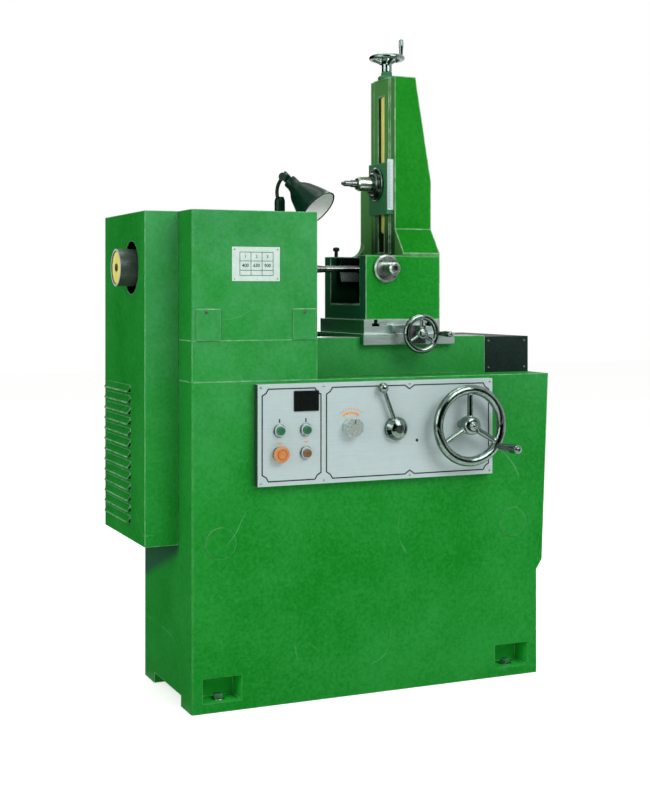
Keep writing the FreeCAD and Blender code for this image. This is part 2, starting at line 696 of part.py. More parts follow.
def belt_guard():
    body = new_piece("belt_guard")
    outer = left - size.guard_out
    inner = left - size.guard_gap
    y0 = front + size.guard_front
    y1 = front + size.guard_back
    top = bed_top + size.head_height
    sheet = size.guard_sheet
    pad(body, "XY", size.guard_bottom, top, rectangle(outer, y0, inner, y1))
    room = rectangle(outer + sheet, y0 + sheet, inner, y1 - sheet)
    cut(body, "XY", size.guard_bottom + sheet, top - sheet, room)
    cut(body, "YZ", outer, outer + sheet, Circle(axis_y, size.axis_height, size.guard_hole))
    low = size.louvre_lowest
    row = size.louvre_pitch * (size.louvre_count - 1)
    louvre_front = front + size.louvre_front
    louvre_rear = front + size.louvre_rear
    slot = rectangle(louvre_front, low, louvre_rear, low + size.louvre_slot)
    slots = cut(body, "YZ", outer, outer + sheet, slot)
    repeat_along(body, slots, "Z_Axis", row, size.louvre_count)
    lip = outer - size.louvre_out
    hood = [
        (outer, low + size.louvre_rise),
        (lip, low + sheet),
        (lip, low),
        (outer, low + size.louvre_slot),
    ]
    hoods = pad(body, "XZ", louvre_front, louvre_rear, hood)
    repeat_along(body, hoods, "Z_Axis", row, size.louvre_count)
    hinge_x, hinge_y = hinge_place()
    for low_end in (size.hinge_low, size.hinge_high):
        bottom = low_end + size.hinge_knuckle + size.free_gap
        eye = Circle(hinge_x, hinge_y, size.hinge_radius)
        leaf = rectangle(hinge_x - size.hinge_leaf, y1, hinge_x, y1 + size.hinge_leaf_thick)
        pad(body, "XY", bottom, bottom + size.hinge_knuckle, leaf)
        pad(body, "XY", bottom, bottom + size.hinge_knuckle, eye)
        bore = Circle(hinge_x, hinge_y, size.hinge_pin + size.run_gap)
        cut(body, "XY", bottom, bottom + size.hinge_knuckle, bore)


def hinge(label, low_end):
    """The fixed half of a lift-off hinge, with its pin standing up."""
    body = new_piece(label)
    hinge_x, hinge_y = hinge_place()
    back = front + size.head_depth
    carrier = back if low_end is size.hinge_high else bed_back
    leaf_back = front + size.guard_back + size.hinge_leaf_thick
    top = low_end + size.hinge_knuckle
    leaf = rectangle(left, carrier, left + size.hinge_leaf, leaf_back)
    arm = rectangle(hinge_x, front + size.guard_back + size.free_gap, left, leaf_back)
    pad(body, "XY", low_end, top, leaf)
    pad(body, "XY", low_end, top, arm)
    pad(body, "XY", low_end, top, Circle(hinge_x, hinge_y, size.hinge_radius))
    pin = Circle(hinge_x, hinge_y, size.hinge_pin)
    pad(body, "XY", top, top + size.hinge_knuckle, pin)


def control_panel():
    body = new_piece("control_panel")
    x0 = left + size.panel_left
    x1 = x0 + size.panel_width
    z0 = size.panel_bottom
    z1 = z0 + size.panel_height
    wall = size.panel_wall
    pad(body, "XZ", panel_face, front, rectangle(x0, z0, x1, z1))
    hollow = rectangle(x0 + wall, z0 + wall, x1 - wall, z1 - wall)
    cut(body, "XZ", panel_face + size.panel_sheet, front, hollow)
    bezel = size.button_radius + size.free_gap + size.bezel_wall
    rings = [
        Circle(left + size.button_left, size.button_high, bezel),
        Circle(left + size.button_right, size.button_high, bezel),
        Circle(left + size.button_right, size.button_low, bezel),
        Circle(left + size.button_left, size.button_low, size.stop_bezel_radius),
    ]
    pad(body, "XZ", panel_face - size.bezel_out, panel_face, *rings)
    wells = [ring._replace(radius=size.button_radius + size.free_gap) for ring in rings]
    cut(body, "XZ", panel_face - size.bezel_out, panel_face, *wells)
    stem = size.stem_radius + size.run_gap
    display = rectangle(
        left + size.display_left,
        size.display_bottom,
        left + size.display_left + size.display_width,
        size.display_bottom + size.display_height,
    )
    holes = [ring._replace(radius=stem) for ring in rings] + [
        Circle(left + size.knob_across, size.knob_up, size.knob_shaft + size.run_gap),
        Circle(left + size.lever_across, size.lever_up, size.lever_shaft + size.free_gap),
        Circle(left + size.wheel_across, size.wheel_up, size.pinion_shaft_radius + size.free_gap),
        Circle(left + size.oil_hole_across, size.oil_hole_up, size.oil_hole),
    ]
    cut(body, "XZ", panel_face, panel_face + size.panel_sheet, display, *holes)


def panel_display():
    body = new_piece("panel_display")
    x = left + size.display_left
    z = size.display_bottom
    gap = size.fit_gap
    block = rectangle(x + gap, z + gap, x + size.display_width - gap, z + size.display_height - gap)
    pad(body, "XZ", panel_face - size.display_out, panel_face + size.display_depth, block)


def push_button(label, across, up, cap_radius, cap_thick):
    """A button whose cap stands out of its bezel and whose stem runs in the panel."""
    body = new_piece(label, (left + across, panel_face, up), to_front)
    out = size.bezel_out + size.press_travel + size.free_gap
    low = size.press_travel + size.free_gap
    outline = [
        (0, -size.stem_length),
        (size.stem_radius, -size.stem_length),
        (size.stem_radius, low),
        (size.button_radius, low),
        (size.button_radius, out),
        (cap_radius, out),
        (cap_radius, out + cap_thick * 0.7),
        (cap_radius * 0.8, out + cap_thick),
        (0, out + cap_thick),
    ]
    if cap_radius is size.button_radius:
        del outline[4:6]
    spin(body, outline)


def feed_knob():
    body = new_piece("feed_knob", (left + size.knob_across, panel_face, size.knob_up), to_front)
    half = size.knob_size / 2
    corner = half * math.tan(math.pi / 8)
    octagon = [
        (half, -corner), (half, corner), (corner, half), (-corner, half),
        (-half, corner), (-half, -corner), (-corner, -half), (corner, -half),
    ]
    pad(body, "XY", size.knob_gap, size.knob_gap + size.knob_out, octagon)
    shaft = Circle(0, 0, size.knob_shaft)
    pad(body, "XY", -size.knob_shaft_length, size.knob_gap, shaft)


def feed_lever():
    leaning = to_front * FreeCAD.Rotation(FreeCAD.Vector(0, 0, 1), size.lever_lean.value)
    body = new_piece("feed_lever", (left + size.lever_across, panel_face, size.lever_up), leaning)
    depth = size.panel_out + size.cabinet_wall + size.valve_depth / 2
    base = size.knob_gap
    out = base + size.lever_disc_out
    outline = [
        (0, -depth),
        (size.lever_shaft, -depth),
        (size.lever_shaft, base),
        (size.lever_disc, base),
        (size.lever_disc, out - size.lever_dome),
        (size.lever_disc * 0.72, out - size.lever_dome * 0.3),
        (size.lever_disc * 0.4, out),
        (0, out),
    ]
    spin(body, outline)
    arm_up = base + size.lever_disc_out / 2
    arm = Circle(0, arm_up, size.lever_arm_radius)
    pad(body, "XZ", 0, size.lever_arm_length, arm)
    end = size.lever_arm_length
    knob = body.newObject("PartDesign::AdditiveSphere", "feed_lever_ball")
    knob.setExpression("Radius", size.lever_ball.text)
    knob.AttachmentSupport = [(origin_part(body, "XY_Plane"), "")]
    knob.MapMode = "FlatFace"
    knob.setExpression("AttachmentOffset.Base.y", end.text)
    knob.setExpression("AttachmentOffset.Base.z", arm_up.text)
    body.Tip = knob


def valve_block():
    body = new_piece("valve_block")
    inside = front + size.cabinet_wall
    half = size.valve_size / 2
    x = left + size.lever_across
    z = size.lever_up
    pad(body, "XZ", inside, inside + size.valve_depth, rectangle(x - half, z - half, x + half, z + half))
    bore = Circle(x, z, size.lever_shaft + size.run_gap)
    cut(body, "XZ", inside, inside + size.valve_depth, bore)


def hydraulic_unit():
    body = new_piece("hydraulic_unit")
    x = left + size.tank_left
    y = front + size.tank_front
    z = size.floor_height
    lid = z + size.tank_height
    pad(body, "XY", z, lid, rectangle(x, y, x + size.tank_width, y + size.tank_depth))
    middle = (x + size.tank_width / 2, y + size.tank_depth / 2)
    pad(body, "XY", lid, lid + size.pump_height, Circle(*middle, size.pump_radius))
    cap = lid + size.pump_height
    pad(body, "XY", cap, cap + size.pump_cap, Circle(*middle, size.pump_radius - size.pump_cap))


def hand_wheel(label, at, turned, rim_radius, rim, hub, hub_low, hub_high, spoke, rim_up, bore):
    """A three-spoke wheel: turned rim and hub, with one spoke repeated round the axis."""
    body = new_piece(label, at, turned)
    chamfer = hub * 0.25
    outline = [
        (bore, hub_low),
        (hub, hub_low),
        (hub, hub_high - chamfer),
        (hub - chamfer, hub_high),
        (bore, hub_high),
    ]
    spin(body, outline)
    arm = pad(body, "YZ", bore + (hub - bore) / 2, rim_radius, Circle(0, rim_up, spoke))
    repeat_round(body, arm, 3)
    spin(body, Circle(rim_radius, rim_up, rim))


def grip(label, at, turned, start, length, radius, swell):
    """A turned handle that swells towards its outer end."""
    body = new_piece(label, at, turned)
    outline = [
        (0, start),
        (radius * 0.7, start),
        (radius * 0.7, start + length * 0.08),
        (radius, start + length * 0.1),
        (radius + swell, start + length * 0.65),
        (radius + swell * 0.6, start + length * 0.95),
        (radius * 0.6, start + length),
        (0, start + length),
    ]
    spin(body, outline)


def table_handwheel():
    x = left + size.wheel_across
    z = size.wheel_up
    at = (x, front, z)
    half = size.wheel_hub_out - size.wheel_out
    shaft = size.pinion_shaft_radius
    hand_wheel(
        "table_handwheel", at, to_front * FreeCAD.Rotation(FreeCAD.Vector(0, 0, 1), 90),
        size.wheel_rim_radius, size.wheel_rim, size.wheel_hub,
        size.wheel_out - half, size.wheel_hub_out, size.wheel_spoke, size.wheel_out,
        shaft + size.fit_gap,
    )
    angle = math.radians(size.grip_angle.value)
    across = size.wheel_rim_radius * math.cos(angle)
    up = size.wheel_rim_radius * math.sin(angle)
    grip(
        "table_handwheel_grip", (x + across, front, z + up), to_front,
        size.wheel_out + size.wheel_rim + size.fit_gap, size.grip_length,
        size.grip_radius, size.grip_swell,
    )


def pinion_shaft():
    """The handwheel's shaft, from the hub through the wall to the pinion."""
    body = new_piece("pinion_shaft", (left + size.wheel_across, front, size.wheel_up), to_front)
    end = size.wheel_hub_out - size.free_gap
    gear_front = -size.gear_front
    gear_back = gear_front - size.gear_width
    outline = [
        (0, gear_back),
        (size.pinion_radius - size.free_gap, gear_back),
        (size.pinion_radius - size.free_gap, gear_front),
        (size.pinion_shaft_radius, gear_front),
        (size.pinion_shaft_radius, end),
        (0, end),
    ]
    spin(body, outline)


def idler_gear():
    body = new_piece("idler_gear", (idler_x, front, idler_up), to_front)
    gear_front = -size.gear_front
    gear_back = gear_front - size.gear_width
    web = (size.gear_width - size.idler_web) / 2
    rim_inside = size.idler_radius - size.idler_rim
    outline = [
        (0, gear_back),
        (size.idler_hub, gear_back),
        (size.idler_hub, gear_back + web),
        (rim_inside, gear_back + web),
        (rim_inside, gear_back),
        (size.idler_radius, gear_back),
        (size.idler_radius, gear_front),
        (rim_inside, gear_front),
        (rim_inside, gear_front - web),
        (size.idler_hub, gear_front - web),
        (size.idler_hub, gear_front),
        (size.idler_shaft, gear_front),
        (size.idler_shaft, 0),
        (0, 0),
    ]
    spin(body, outline)


def saddle():
    body = new_piece("saddle")
    gap = size.slide_gap
    x0 = left + size.saddle_left
    x1 = x0 + size.saddle_length
    y0 = front + size.saddle_front
    y1 = front + size.saddle_back
    pad(body, "XY", bed_top + gap, saddle_top, rectangle(x0, y0, x1, y1))
    lip_bottom = bed_top - size.saddle_lip
    pad(body, "XY", lip_bottom, bed_top + gap, rectangle(x0, y0, x1, bed_front - gap))
    keel_front = front + size.trough_front + gap
    keel = rectangle(x0, keel_front, x1, keel_front + size.keel_width)
    pad(body, "XY", bed_top - size.keel_drop, bed_top + gap, keel)
    dove_left = left + size.dovetail_left
    dove_right = dove_left + size.dovetail_width
    dove_top = saddle_top + size.dovetail_rise
    dovetail = [
        (dove_left + size.dovetail_lean, saddle_top),
        (dove_right - size.dovetail_lean, saddle_top),
        (dove_right, dove_top),
        (dove_left, dove_top),
    ]
    pad(body, "XZ", front + size.dovetail_front, front + size.dovetail_back, dovetail)
    lug_x = left + size.lug_left
    lug_y = front + size.cylinder_depth
    half = size.lug_width / 2
    lug = rectangle(lug_x, lug_y - half, lug_x + size.lug_thick, lug_y + half)
    pad(body, "XY", bed_top - size.lug_drop, bed_top + gap, lug)
    eye = Circle(lug_y, size.cylinder_up, size.rod_radius + size.fit_gap)
    cut(body, "YZ", lug_x, lug_x + size.lug_thick, eye)
    screw_x0 = left + size.cross_wheel_across
    channel = rectangle(
        screw_x0 - size.channel_width / 2, y0 + size.saddle_lip,
        screw_x0 + size.channel_width / 2, front + size.cross_screw_back + size.gear_side,
    )
    cut(body, "XY", bed_top - size.keel_drop + size.saddle_thick, dove_top, channel)
    bore = Circle(screw_x0, size.cross_wheel_up, size.cross_screw_radius + size.free_gap)
    cut(body, "XZ", y0, y0 + size.saddle_lip, bore)


def feed_rack():
    body = new_piece("feed_rack")
    x = left + size.rack_left
    y = front + size.gear_front
    bar = rectangle(x, y, x + size.rack_length, y + size.gear_width)
    pad(body, "XY", rack_bottom, bed_top + size.slide_gap, bar)


def feed_cylinder():
    at = (left + size.cylinder_left, front + size.cylinder_depth, size.cylinder_up)
    body = new_piece("feed_cylinder", at, to_right)
    outer = size.cylinder_radius
    cap = size.cylinder_radius + size.cap_raise
    length = size.cylinder_length
    outline = [
        (size.rod_radius + size.run_gap, 0),
        (cap, 0),
        (cap, size.cap_length),
        (outer, size.cap_length),
        (outer, length - size.cap_length),
        (cap, length - size.cap_length),
        (cap, length),
        (0, length),
        (0, length - size.cap_length),
        (size.piston_bore, length - size.cap_length),
        (size.piston_bore, size.cap_length),
        (size.rod_radius + size.run_gap, size.cap_length),
    ]
    spin(body, outline)
    drop = size.cylinder_up - size.cabinet_height - size.trough_floor
    half = outer * 0.6
    foot = rectangle(size.piston_bore + size.cap_raise, -half, drop, half)
    cradles = [size.cap_length, size.bed_length - size.cylinder_left - size.cradle_width]
    for start in cradles:
        pad(body, "XY", start, start + size.cradle_width, foot)


def piston_rod():
    start = left + size.lug_left
    at = (start, front + size.cylinder_depth, size.cylinder_up)
    body = new_piece("piston_rod", at, to_right)
    piston = size.piston_at - size.lug_left
    outline = [
        (0, 0),
        (size.rod_radius, 0),
        (size.rod_radius, piston),
        (size.piston_bore - size.run_gap, piston),
        (size.piston_bore - size.run_gap, piston + size.piston_width),
        (0, piston + size.piston_width),
    ]
    spin(body, outline)


def screw_bracket():
    body = new_piece("screw_bracket")
    x = left + size.cross_wheel_across
    y1 = front + size.saddle_front
    y0 = y1 - size.bracket_thick
    half = size.bracket_width / 2
    z0 = size.bracket_bottom
    pad(body, "XZ", y0, y1, rectangle(x - half, z0, x + half, z0 + size.bracket_height))
    bore = Circle(x, size.cross_wheel_up, size.cross_screw_radius + size.run_gap)
    cut(body, "XZ", y0, y1, bore)


def cross_screw():
    x = left + size.cross_wheel_across
    body = new_piece("cross_screw", (x, front, size.cross_wheel_up), to_front)
    collar = -(size.saddle_front - size.bracket_thick - size.run_gap)
    wheel_back = -(size.cross_rim_out + size.cross_hub_length / 2)
    outline = [
        (0, -size.cross_screw_back),
        (size.cross_screw_radius, -size.cross_screw_back),
        (size.cross_screw_radius, collar),
        (size.cross_hub, collar),
        (size.cross_hub, wheel_back + size.fit_gap),
        (size.cross_screw_radius, wheel_back + size.fit_gap),
        (size.cross_screw_radius, wheel_back + size.cross_hub_length),
        (0, wheel_back + size.cross_hub_length),
    ]
    spin(body, outline)


def cross_handwheel():
    x = left + size.cross_wheel_across
    z = size.cross_wheel_up
    half = size.cross_hub_length / 2
    out = -size.cross_rim_out
    hand_wheel(
        "cross_handwheel", (x, front, z), to_front,
        size.cross_rim_radius, size.cross_rim, size.cross_hub,
        out - half + 2 * size.fit_gap, out + half, size.cross_spoke, out,
        size.cross_screw_radius + size.fit_gap,
    )
    grip(
        "cross_handwheel_grip", (x + size.cross_rim_radius, front, z), to_front,
        out + size.cross_rim + size.free_gap, size.cross_grip_length,
        size.cross_grip_radius, size.cross_grip_swell,
    )


def cross_slide():
    body = new_piece("cross_slide")
    gap = size.slide_gap
    x0 = left + size.cross_left
    x1 = x0 + size.cross_width
    y0 = front + size.cross_front
    y1 = y0 + size.cross_length
    pad(body, "XZ", y0, y1, rectangle(x0, cross_bottom, x1, cross_top))
    dove_left = left + size.dovetail_left
    dove_right = dove_left + size.dovetail_width
    roof = saddle_top + size.dovetail_rise + gap
    side = 2 * gap
    female = [
        (dove_left + size.dovetail_lean - side, cross_bottom),
        (dove_right - size.dovetail_lean + side, cross_bottom),
        (dove_right + side, roof),
        (dove_left - side, roof),
    ]
    cut(body, "XZ", y0, y1, female)
    neck = size.slot_neck / 2
    foot = size.slot_foot / 2
    slot_bottom = cross_top - size.slot_depth
    shelf = slot_bottom + size.slot_foot_height
    for middle in (x0 + size.slot_inset, x1 - size.slot_inset):
        tee = [
            (middle - foot, slot_bottom),
            (middle + foot, slot_bottom),
            (middle + foot, shelf),
            (middle + neck, shelf),
            (middle + neck, cross_top),
            (middle - neck, cross_top),
            (middle - neck, shelf),
            (middle - foot, shelf),
        ]
        cut(body, "XZ", y0, y1, tee)
    screw = left + size.cross_wheel_across
    half = size.channel_width / 2 - size.free_gap
    nut = rectangle(screw - half, size.cross_wheel_up - size.nut_drop, screw + half, roof)
    nut_y = front + size.nut_front
    pad(body, "XZ", nut_y, nut_y + size.nut_length, nut)
    bore = Circle(screw, size.cross_wheel_up, size.cross_screw_radius + size.run_gap)
    cut(body, "XZ", nut_y, nut_y + size.nut_length, bore)


def fixture_body():
    body = new_piece("fixture_body")
    right = fixture_x + size.fixture_width
    back = fixture_y + size.fixture_depth
    pad(body, "XY", cross_top, size.fixture_top, rectangle(fixture_x, fixture_y, right, back))
    round_edges(
        body, size.fixture_round, lambda p: near(p.y, fixture_y) and not near(p.z, cross_top)
    )
    well = rectangle(well_front, size.well_bottom, well_back, size.fixture_top - size.deck)
    cut(body, "YZ", fixture_x, left + size.well_right, well)
    mouth = rectangle(fixture_x, well_front, left + size.well_top_right, well_back)
    cut(body, "XY", size.fixture_top - size.deck, size.fixture_top, mouth)
    bore = Circle(clamp_x, clamp_z, size.clamp_radius + size.run_gap)
    cut(body, "XZ", fixture_y, well_front, bore)


def column():
    body = new_piece("column")
    right = fixture_x + size.fixture_width
    y0 = front + size.column_front
    y1 = y0 + size.column_depth
    rear = fixture_y + size.fixture_depth
    top = size.column_top
    bottom = size.fixture_top
    outline = [
        (column_x, bottom),
        (right, bottom),
        (right, size.taper_start),
        (column_x + size.column_top_width, top),
        (column_x, top),
    ]
    pad(body, "XZ", y0, y1, outline)
    flare = [
        (fixture_y, bottom),
        (rear, bottom),
        (rear, size.heel_top),
        (y1, size.heel_start),
        (y1, size.flare_top),
        (y0, size.flare_top),
        (fixture_y, size.flare_bottom),
    ]
    pad(body, "YZ", column_x, right, flare)
    # The rear rib runs out on the fixture's wall in a hollow curve.
    curve_top = bottom + size.gusset
    curve_x = column_x - size.gusset
    foot_rib = rectangle(curve_x, bottom, column_x, curve_top)
    pad(body, "XZ", rear - size.gusset_thick, rear, foot_rib)
    hollow = Circle(curve_x, curve_top, size.gusset - size.free_gap)
    cut(body, "XZ", rear - size.gusset_thick, rear, hollow)
    # The carriage slides on a raised rail, slotted for the screw.
    rail_half = size.rail_width / 2
    rail_low = bottom + size.rail_foot
    rail = rectangle(axis_y - rail_half, rail_low, axis_y + rail_half, top)
    pad(body, "YZ", column_x - size.rail_thick, column_x, rail)
    half = slot_width / 2
    slot = rectangle(axis_y - half, size.slot_bottom, axis_y + half, slot_top)
    slot_back = screw_x + size.screw_radius + size.slot_back_gap
    cut(body, "YZ", column_x - size.rail_thick, slot_back, slot)
    foot = Circle(screw_x, axis_y, size.journal_radius + size.run_gap)
    cut(body, "XY", bottom, size.slot_bottom, foot)
    head = Circle(screw_x, axis_y, size.head_journal + size.run_gap)
    cut(body, "XY", slot_top, top, head)


def column_cap():
    body = new_piece("column_cap", (screw_x, axis_y, size.column_top))
    bore = size.head_journal + size.run_gap
    boss_top = size.cap_thick + size.cap_boss_height
    outline = [
        (bore, 0),
        (size.cap_radius, 0),
        (size.cap_radius, size.cap_thick * 0.6),
        (size.cap_radius * 0.85, size.cap_thick),
        (size.cap_boss, size.cap_thick),
        (size.cap_boss, boss_top),
        (bore, boss_top),
    ]
    spin(body, outline)


def column_screw():
    body = new_piece("column_screw", (screw_x, axis_y, 0))
    foot = size.fixture_top + size.free_gap
    top = column_wheel_up + size.column_hub_height / 2
    thread_top = slot_top - size.run_gap
    outline = [
        (0, foot),
        (size.journal_radius, foot),
        (size.journal_radius, size.thread_bottom),
        (size.screw_radius, size.thread_bottom),
        (size.screw_radius, thread_top),
        (size.head_journal, thread_top),
        (size.head_journal, top),
        (0, top),
    ]
    spin(body, outline)


def column_handwheel():
    half = size.column_hub_height / 2
    cap_top = size.column_top + size.cap_thick + size.cap_boss_height
    up = column_wheel_up
    hand_wheel(
        "column_handwheel", (screw_x, axis_y, 0), upward,
        size.column_rim_radius, size.column_rim, size.column_hub,
        cap_top + size.run_gap, up + half, size.column_spoke, up,
        size.head_journal + size.fit_gap,
    )
    grip(
        "column_handwheel_grip", (screw_x + size.column_rim_radius, axis_y, 0), upward,
        up + size.column_rim + size.fit_gap, size.column_grip_length,
        size.column_grip_radius, size.column_grip_swell,
    )


def carriage():
    body = new_piece("carriage")
    face = column_x - size.slide_gap
    outer = face - size.carriage_thick
    y0 = front + size.carriage_front
    y1 = y0 + size.carriage_width
    z0 = size.carriage_bottom
    z1 = z0 + size.carriage_height
    pad(body, "YZ", outer, face, rectangle(y0, z0, y1, z1))
    rail_half = size.rail_width / 2 + size.slide_gap
    groove_floor = face - size.rail_thick
    cut(body, "YZ", groove_floor, face, rectangle(axis_y - rail_half, z0, axis_y + rail_half, z1))
    half = slot_width / 2 - size.free_gap
    tongue_top = size.tongue_bottom + size.tongue_height
    tongue = rectangle(axis_y - half, size.tongue_bottom, axis_y + half, tongue_top)
    tongue_end = screw_x + size.screw_radius + size.nut_wall
    pad(body, "YZ", groove_floor, tongue_end, tongue)
    nut = Circle(screw_x, axis_y, size.screw_radius + size.run_gap)
    cut(body, "XY", size.tongue_bottom, tongue_top, nut)
    seat = Circle(axis_y, size.pin_up, size.pin_radius + size.fit_gap)
    cut(body, "YZ", outer, outer + size.pin_seat, seat)


def carriage_scale():
    body = new_piece("carriage_scale")
    face = column_x - size.slide_gap - size.scale_inset
    outer = face - size.carriage_thick + 2 * size.scale_inset
    y1 = front + size.carriage_front
    z0 = size.scale_bottom
    strip = rectangle(outer, z0, face, z0 + size.scale_height)
    pad(body, "XZ", y1 - size.scale_thick, y1, strip)


def pin_sleeve():
    outer = column_x - size.slide_gap - size.carriage_thick
    body = new_piece("pin_sleeve", (outer, axis_y, size.pin_up), to_left)
    bore = size.pin_radius + size.fit_gap
    length = size.flange_out + size.sleeve_length
    outline = [
        (bore, 0),
        (size.flange_radius, 0),
        (size.flange_radius, size.flange_edge * 0.7),
        (size.flange_radius - size.flange_edge * 0.3, size.flange_edge),
        (size.flange_step, size.flange_edge),
        (size.flange_step, size.flange_out * 0.8),
        (size.flange_step - size.flange_out * 0.2, size.flange_out),
        (size.sleeve_radius, size.flange_out),
        (size.sleeve_radius, length - size.fixture_round),
        (size.sleeve_radius - size.fixture_round, length),
        (bore, length),
    ]
    spin(body, outline)


def locating_pin():
    outer = column_x - size.slide_gap - size.carriage_thick
    body = new_piece("locating_pin", (outer, axis_y, size.pin_up), to_left)
    first = size.flange_out + size.sleeve_length + size.pin_length
    second = first + size.pin_step_length
    outline = [
        (0, -size.pin_seat + size.free_gap),
        (size.pin_radius, -size.pin_seat + size.free_gap),
        (size.pin_radius, first),
        (size.pin_step_radius, first),
        (size.pin_step_radius, second),
        (size.pin_tip_radius, second + size.pin_tip_length),
        (0, second + size.pin_tip_length),
    ]
    spin(body, outline)


def vee_jaw(label, back_y, nose_y, vee_y, with_spigot):
    """A clamping jaw with a vee along the spindle's direction."""
    body = new_piece(label)
    half = size.jaw_height / 2
    low = clamp_z - half
    high = clamp_z + half
    outline = [(back_y, low), (nose_y, low), (vee_y, clamp_z), (nose_y, high), (back_y, high)]
    pad(body, "YZ", clamp_x - size.jaw_length / 2, clamp_x + size.jaw_length / 2, outline)
    if with_spigot:
        bore = Circle(clamp_x, clamp_z, size.clamp_spigot + size.run_gap)
        cut(body, "XZ", back_y, back_y + size.clamp_spigot_length + size.free_gap, bore)


def clamp_nut():
    body = new_piece("clamp_nut", (clamp_x, fixture_y, clamp_z), to_front)
    bore = size.clamp_radius + size.run_gap
    bevel = size.nut_thick / 3
    outline = [
        (bore, 0),
        (size.nut_radius, 0),
        (size.nut_radius, size.nut_thick - bevel),
        (size.nut_radius - bevel, size.nut_thick),
        (bore, size.nut_thick),
    ]
    spin(body, outline)


def clamp_screw():
    body = new_piece("clamp_screw", (clamp_x, front, clamp_z), to_front)
    jaw_back = -(size.fixture_front + size.fixture_wall + size.jaw_gap)
    end = -size.clamp_front
    outline = [
        (0, jaw_back - size.clamp_spigot_length),
        (size.clamp_spigot, jaw_back - size.clamp_spigot_length),
        (size.clamp_spigot, jaw_back + size.run_gap),
        (size.clamp_radius, jaw_back + size.run_gap),
        (size.clamp_radius, end - size.fixture_round),
        (size.clamp_radius - size.fixture_round, end),
        (0, end),
    ]
    spin(body, outline)
    reach = size.socket_radius
    side = reach * math.cos(math.radians(60))
    rise = reach * math.sin(math.radians(60))
    hexagon = [(reach, 0), (side, rise), (-side, rise), (-reach, 0), (-side, -rise), (side, -rise)]
    cut(body, "XY", end - size.socket_depth, end, hexagon)


def clamp_stud():
    at = (left + size.stud_across, well_back + size.fixture_wall / 2, size.fixture_top)
    body = new_piece("clamp_stud", at)
    knob_start = size.stud_height - size.stud_knob_height
    outline = [
        (0, 0),
        (size.stud_radius, 0),
        (size.stud_radius, knob_start),
        (size.stud_knob, knob_start + size.stud_knob_height * 0.2),
        (size.stud_knob, size.stud_height - size.stud_knob_height * 0.2),
        (size.stud_radius, size.stud_height),
        (0, size.stud_height),
    ]
    spin(body, outline)


def lamp_base():
    top = bed_top + size.head_height
    body = new_piece("lamp_base", (left + size.lamp_across, front + size.lamp_depth, top))
    outline = [
        (0, 0),
        (size.lamp_disc, 0),
        (size.lamp_disc, size.lamp_disc_height * 0.5),
        (size.lamp_disc * 0.7, size.lamp_disc_height),
        (size.lamp_post, size.lamp_disc_height),
        (size.lamp_post, size.lamp_post_height),
        (0, size.lamp_post_height),
    ]
    spin(body, outline)


def lamp_arm():
    """A domed collar on the post and a bowed tube up to the eye that holds the shade."""
    top = bed_top + size.head_height
    body = new_piece("lamp_arm", (left + size.lamp_across, front + size.lamp_depth, top), lamp_heading)
    low = size.lamp_disc_height + size.free_gap
    high = low + size.collar_height
    cap = size.lamp_post_height + size.free_gap
    bore = size.lamp_post + size.run_gap
    outline = [
        (bore, low),
        (size.collar_radius, low),
        (size.collar_radius, high),
        (bore + size.collar_wall, cap + size.collar_wall),
        (0, cap + size.collar_wall),
        (0, cap),
        (bore, cap),
    ]
    spin(body, outline)
    side = size.tongue_thick / 2 + size.free_gap
    pivot_up = size.lamp_pivot + size.lamp_post_height
    eye = Circle(lamp_reach, pivot_up, size.eye_radius)
    pad(body, "XZ", -side - size.eye_thick, -side, eye)
    pin = Circle(lamp_reach, pivot_up, size.pivot_radius)
    pad(body, "XZ", -side, side + size.free_gap, pin)
    bend = body.newObject("Sketcher::SketchObject", "lamp_arm_path")
    bend.AttachmentSupport = [(origin_part(body, "XZ_Plane"), "")]
    bend.MapMode = "FlatFace"
    bend.setExpression("AttachmentOffset.Base.z", (side + size.eye_thick / 2).text)
    rise = pivot_up - cap
    chord = square_root(lamp_reach * lamp_reach + rise * rise)
    start_point = FreeCAD.Vector(0, cap.value, 0)
    end_point = FreeCAD.Vector(lamp_reach.value, pivot_up.value, 0)
    outward = FreeCAD.Vector(-rise.value, lamp_reach.value, 0) * (size.arm_bow.value / chord.value)
    middle_point = (start_point + end_point) / 2 + outward
    bend.addGeometry(Part.Arc(end_point, middle_point, start_point))
    pin_point(bend, 0, 1, lamp_reach, pivot_up)
    pin_point(bend, 0, 2, 0, cap)
    section = sketch_on(body, "XY", cap, [Circle(0, -side - size.eye_thick / 2, size.arm_radius)])
    radius = (chord * chord / 4 + size.arm_bow * size.arm_bow) / (2 * size.arm_bow)
    bow = bend.addConstraint(Sketcher.Constraint("Radius", 0, radius.value))
    bend.setExpression(f"Constraints[{bow}]", radius.text)
    tube = body.newObject("PartDesign::AdditivePipe", "lamp_arm_tube")
    tube.Profile = section
    tube.Spine = (bend, ["Edge1"])
    body.Tip = tube


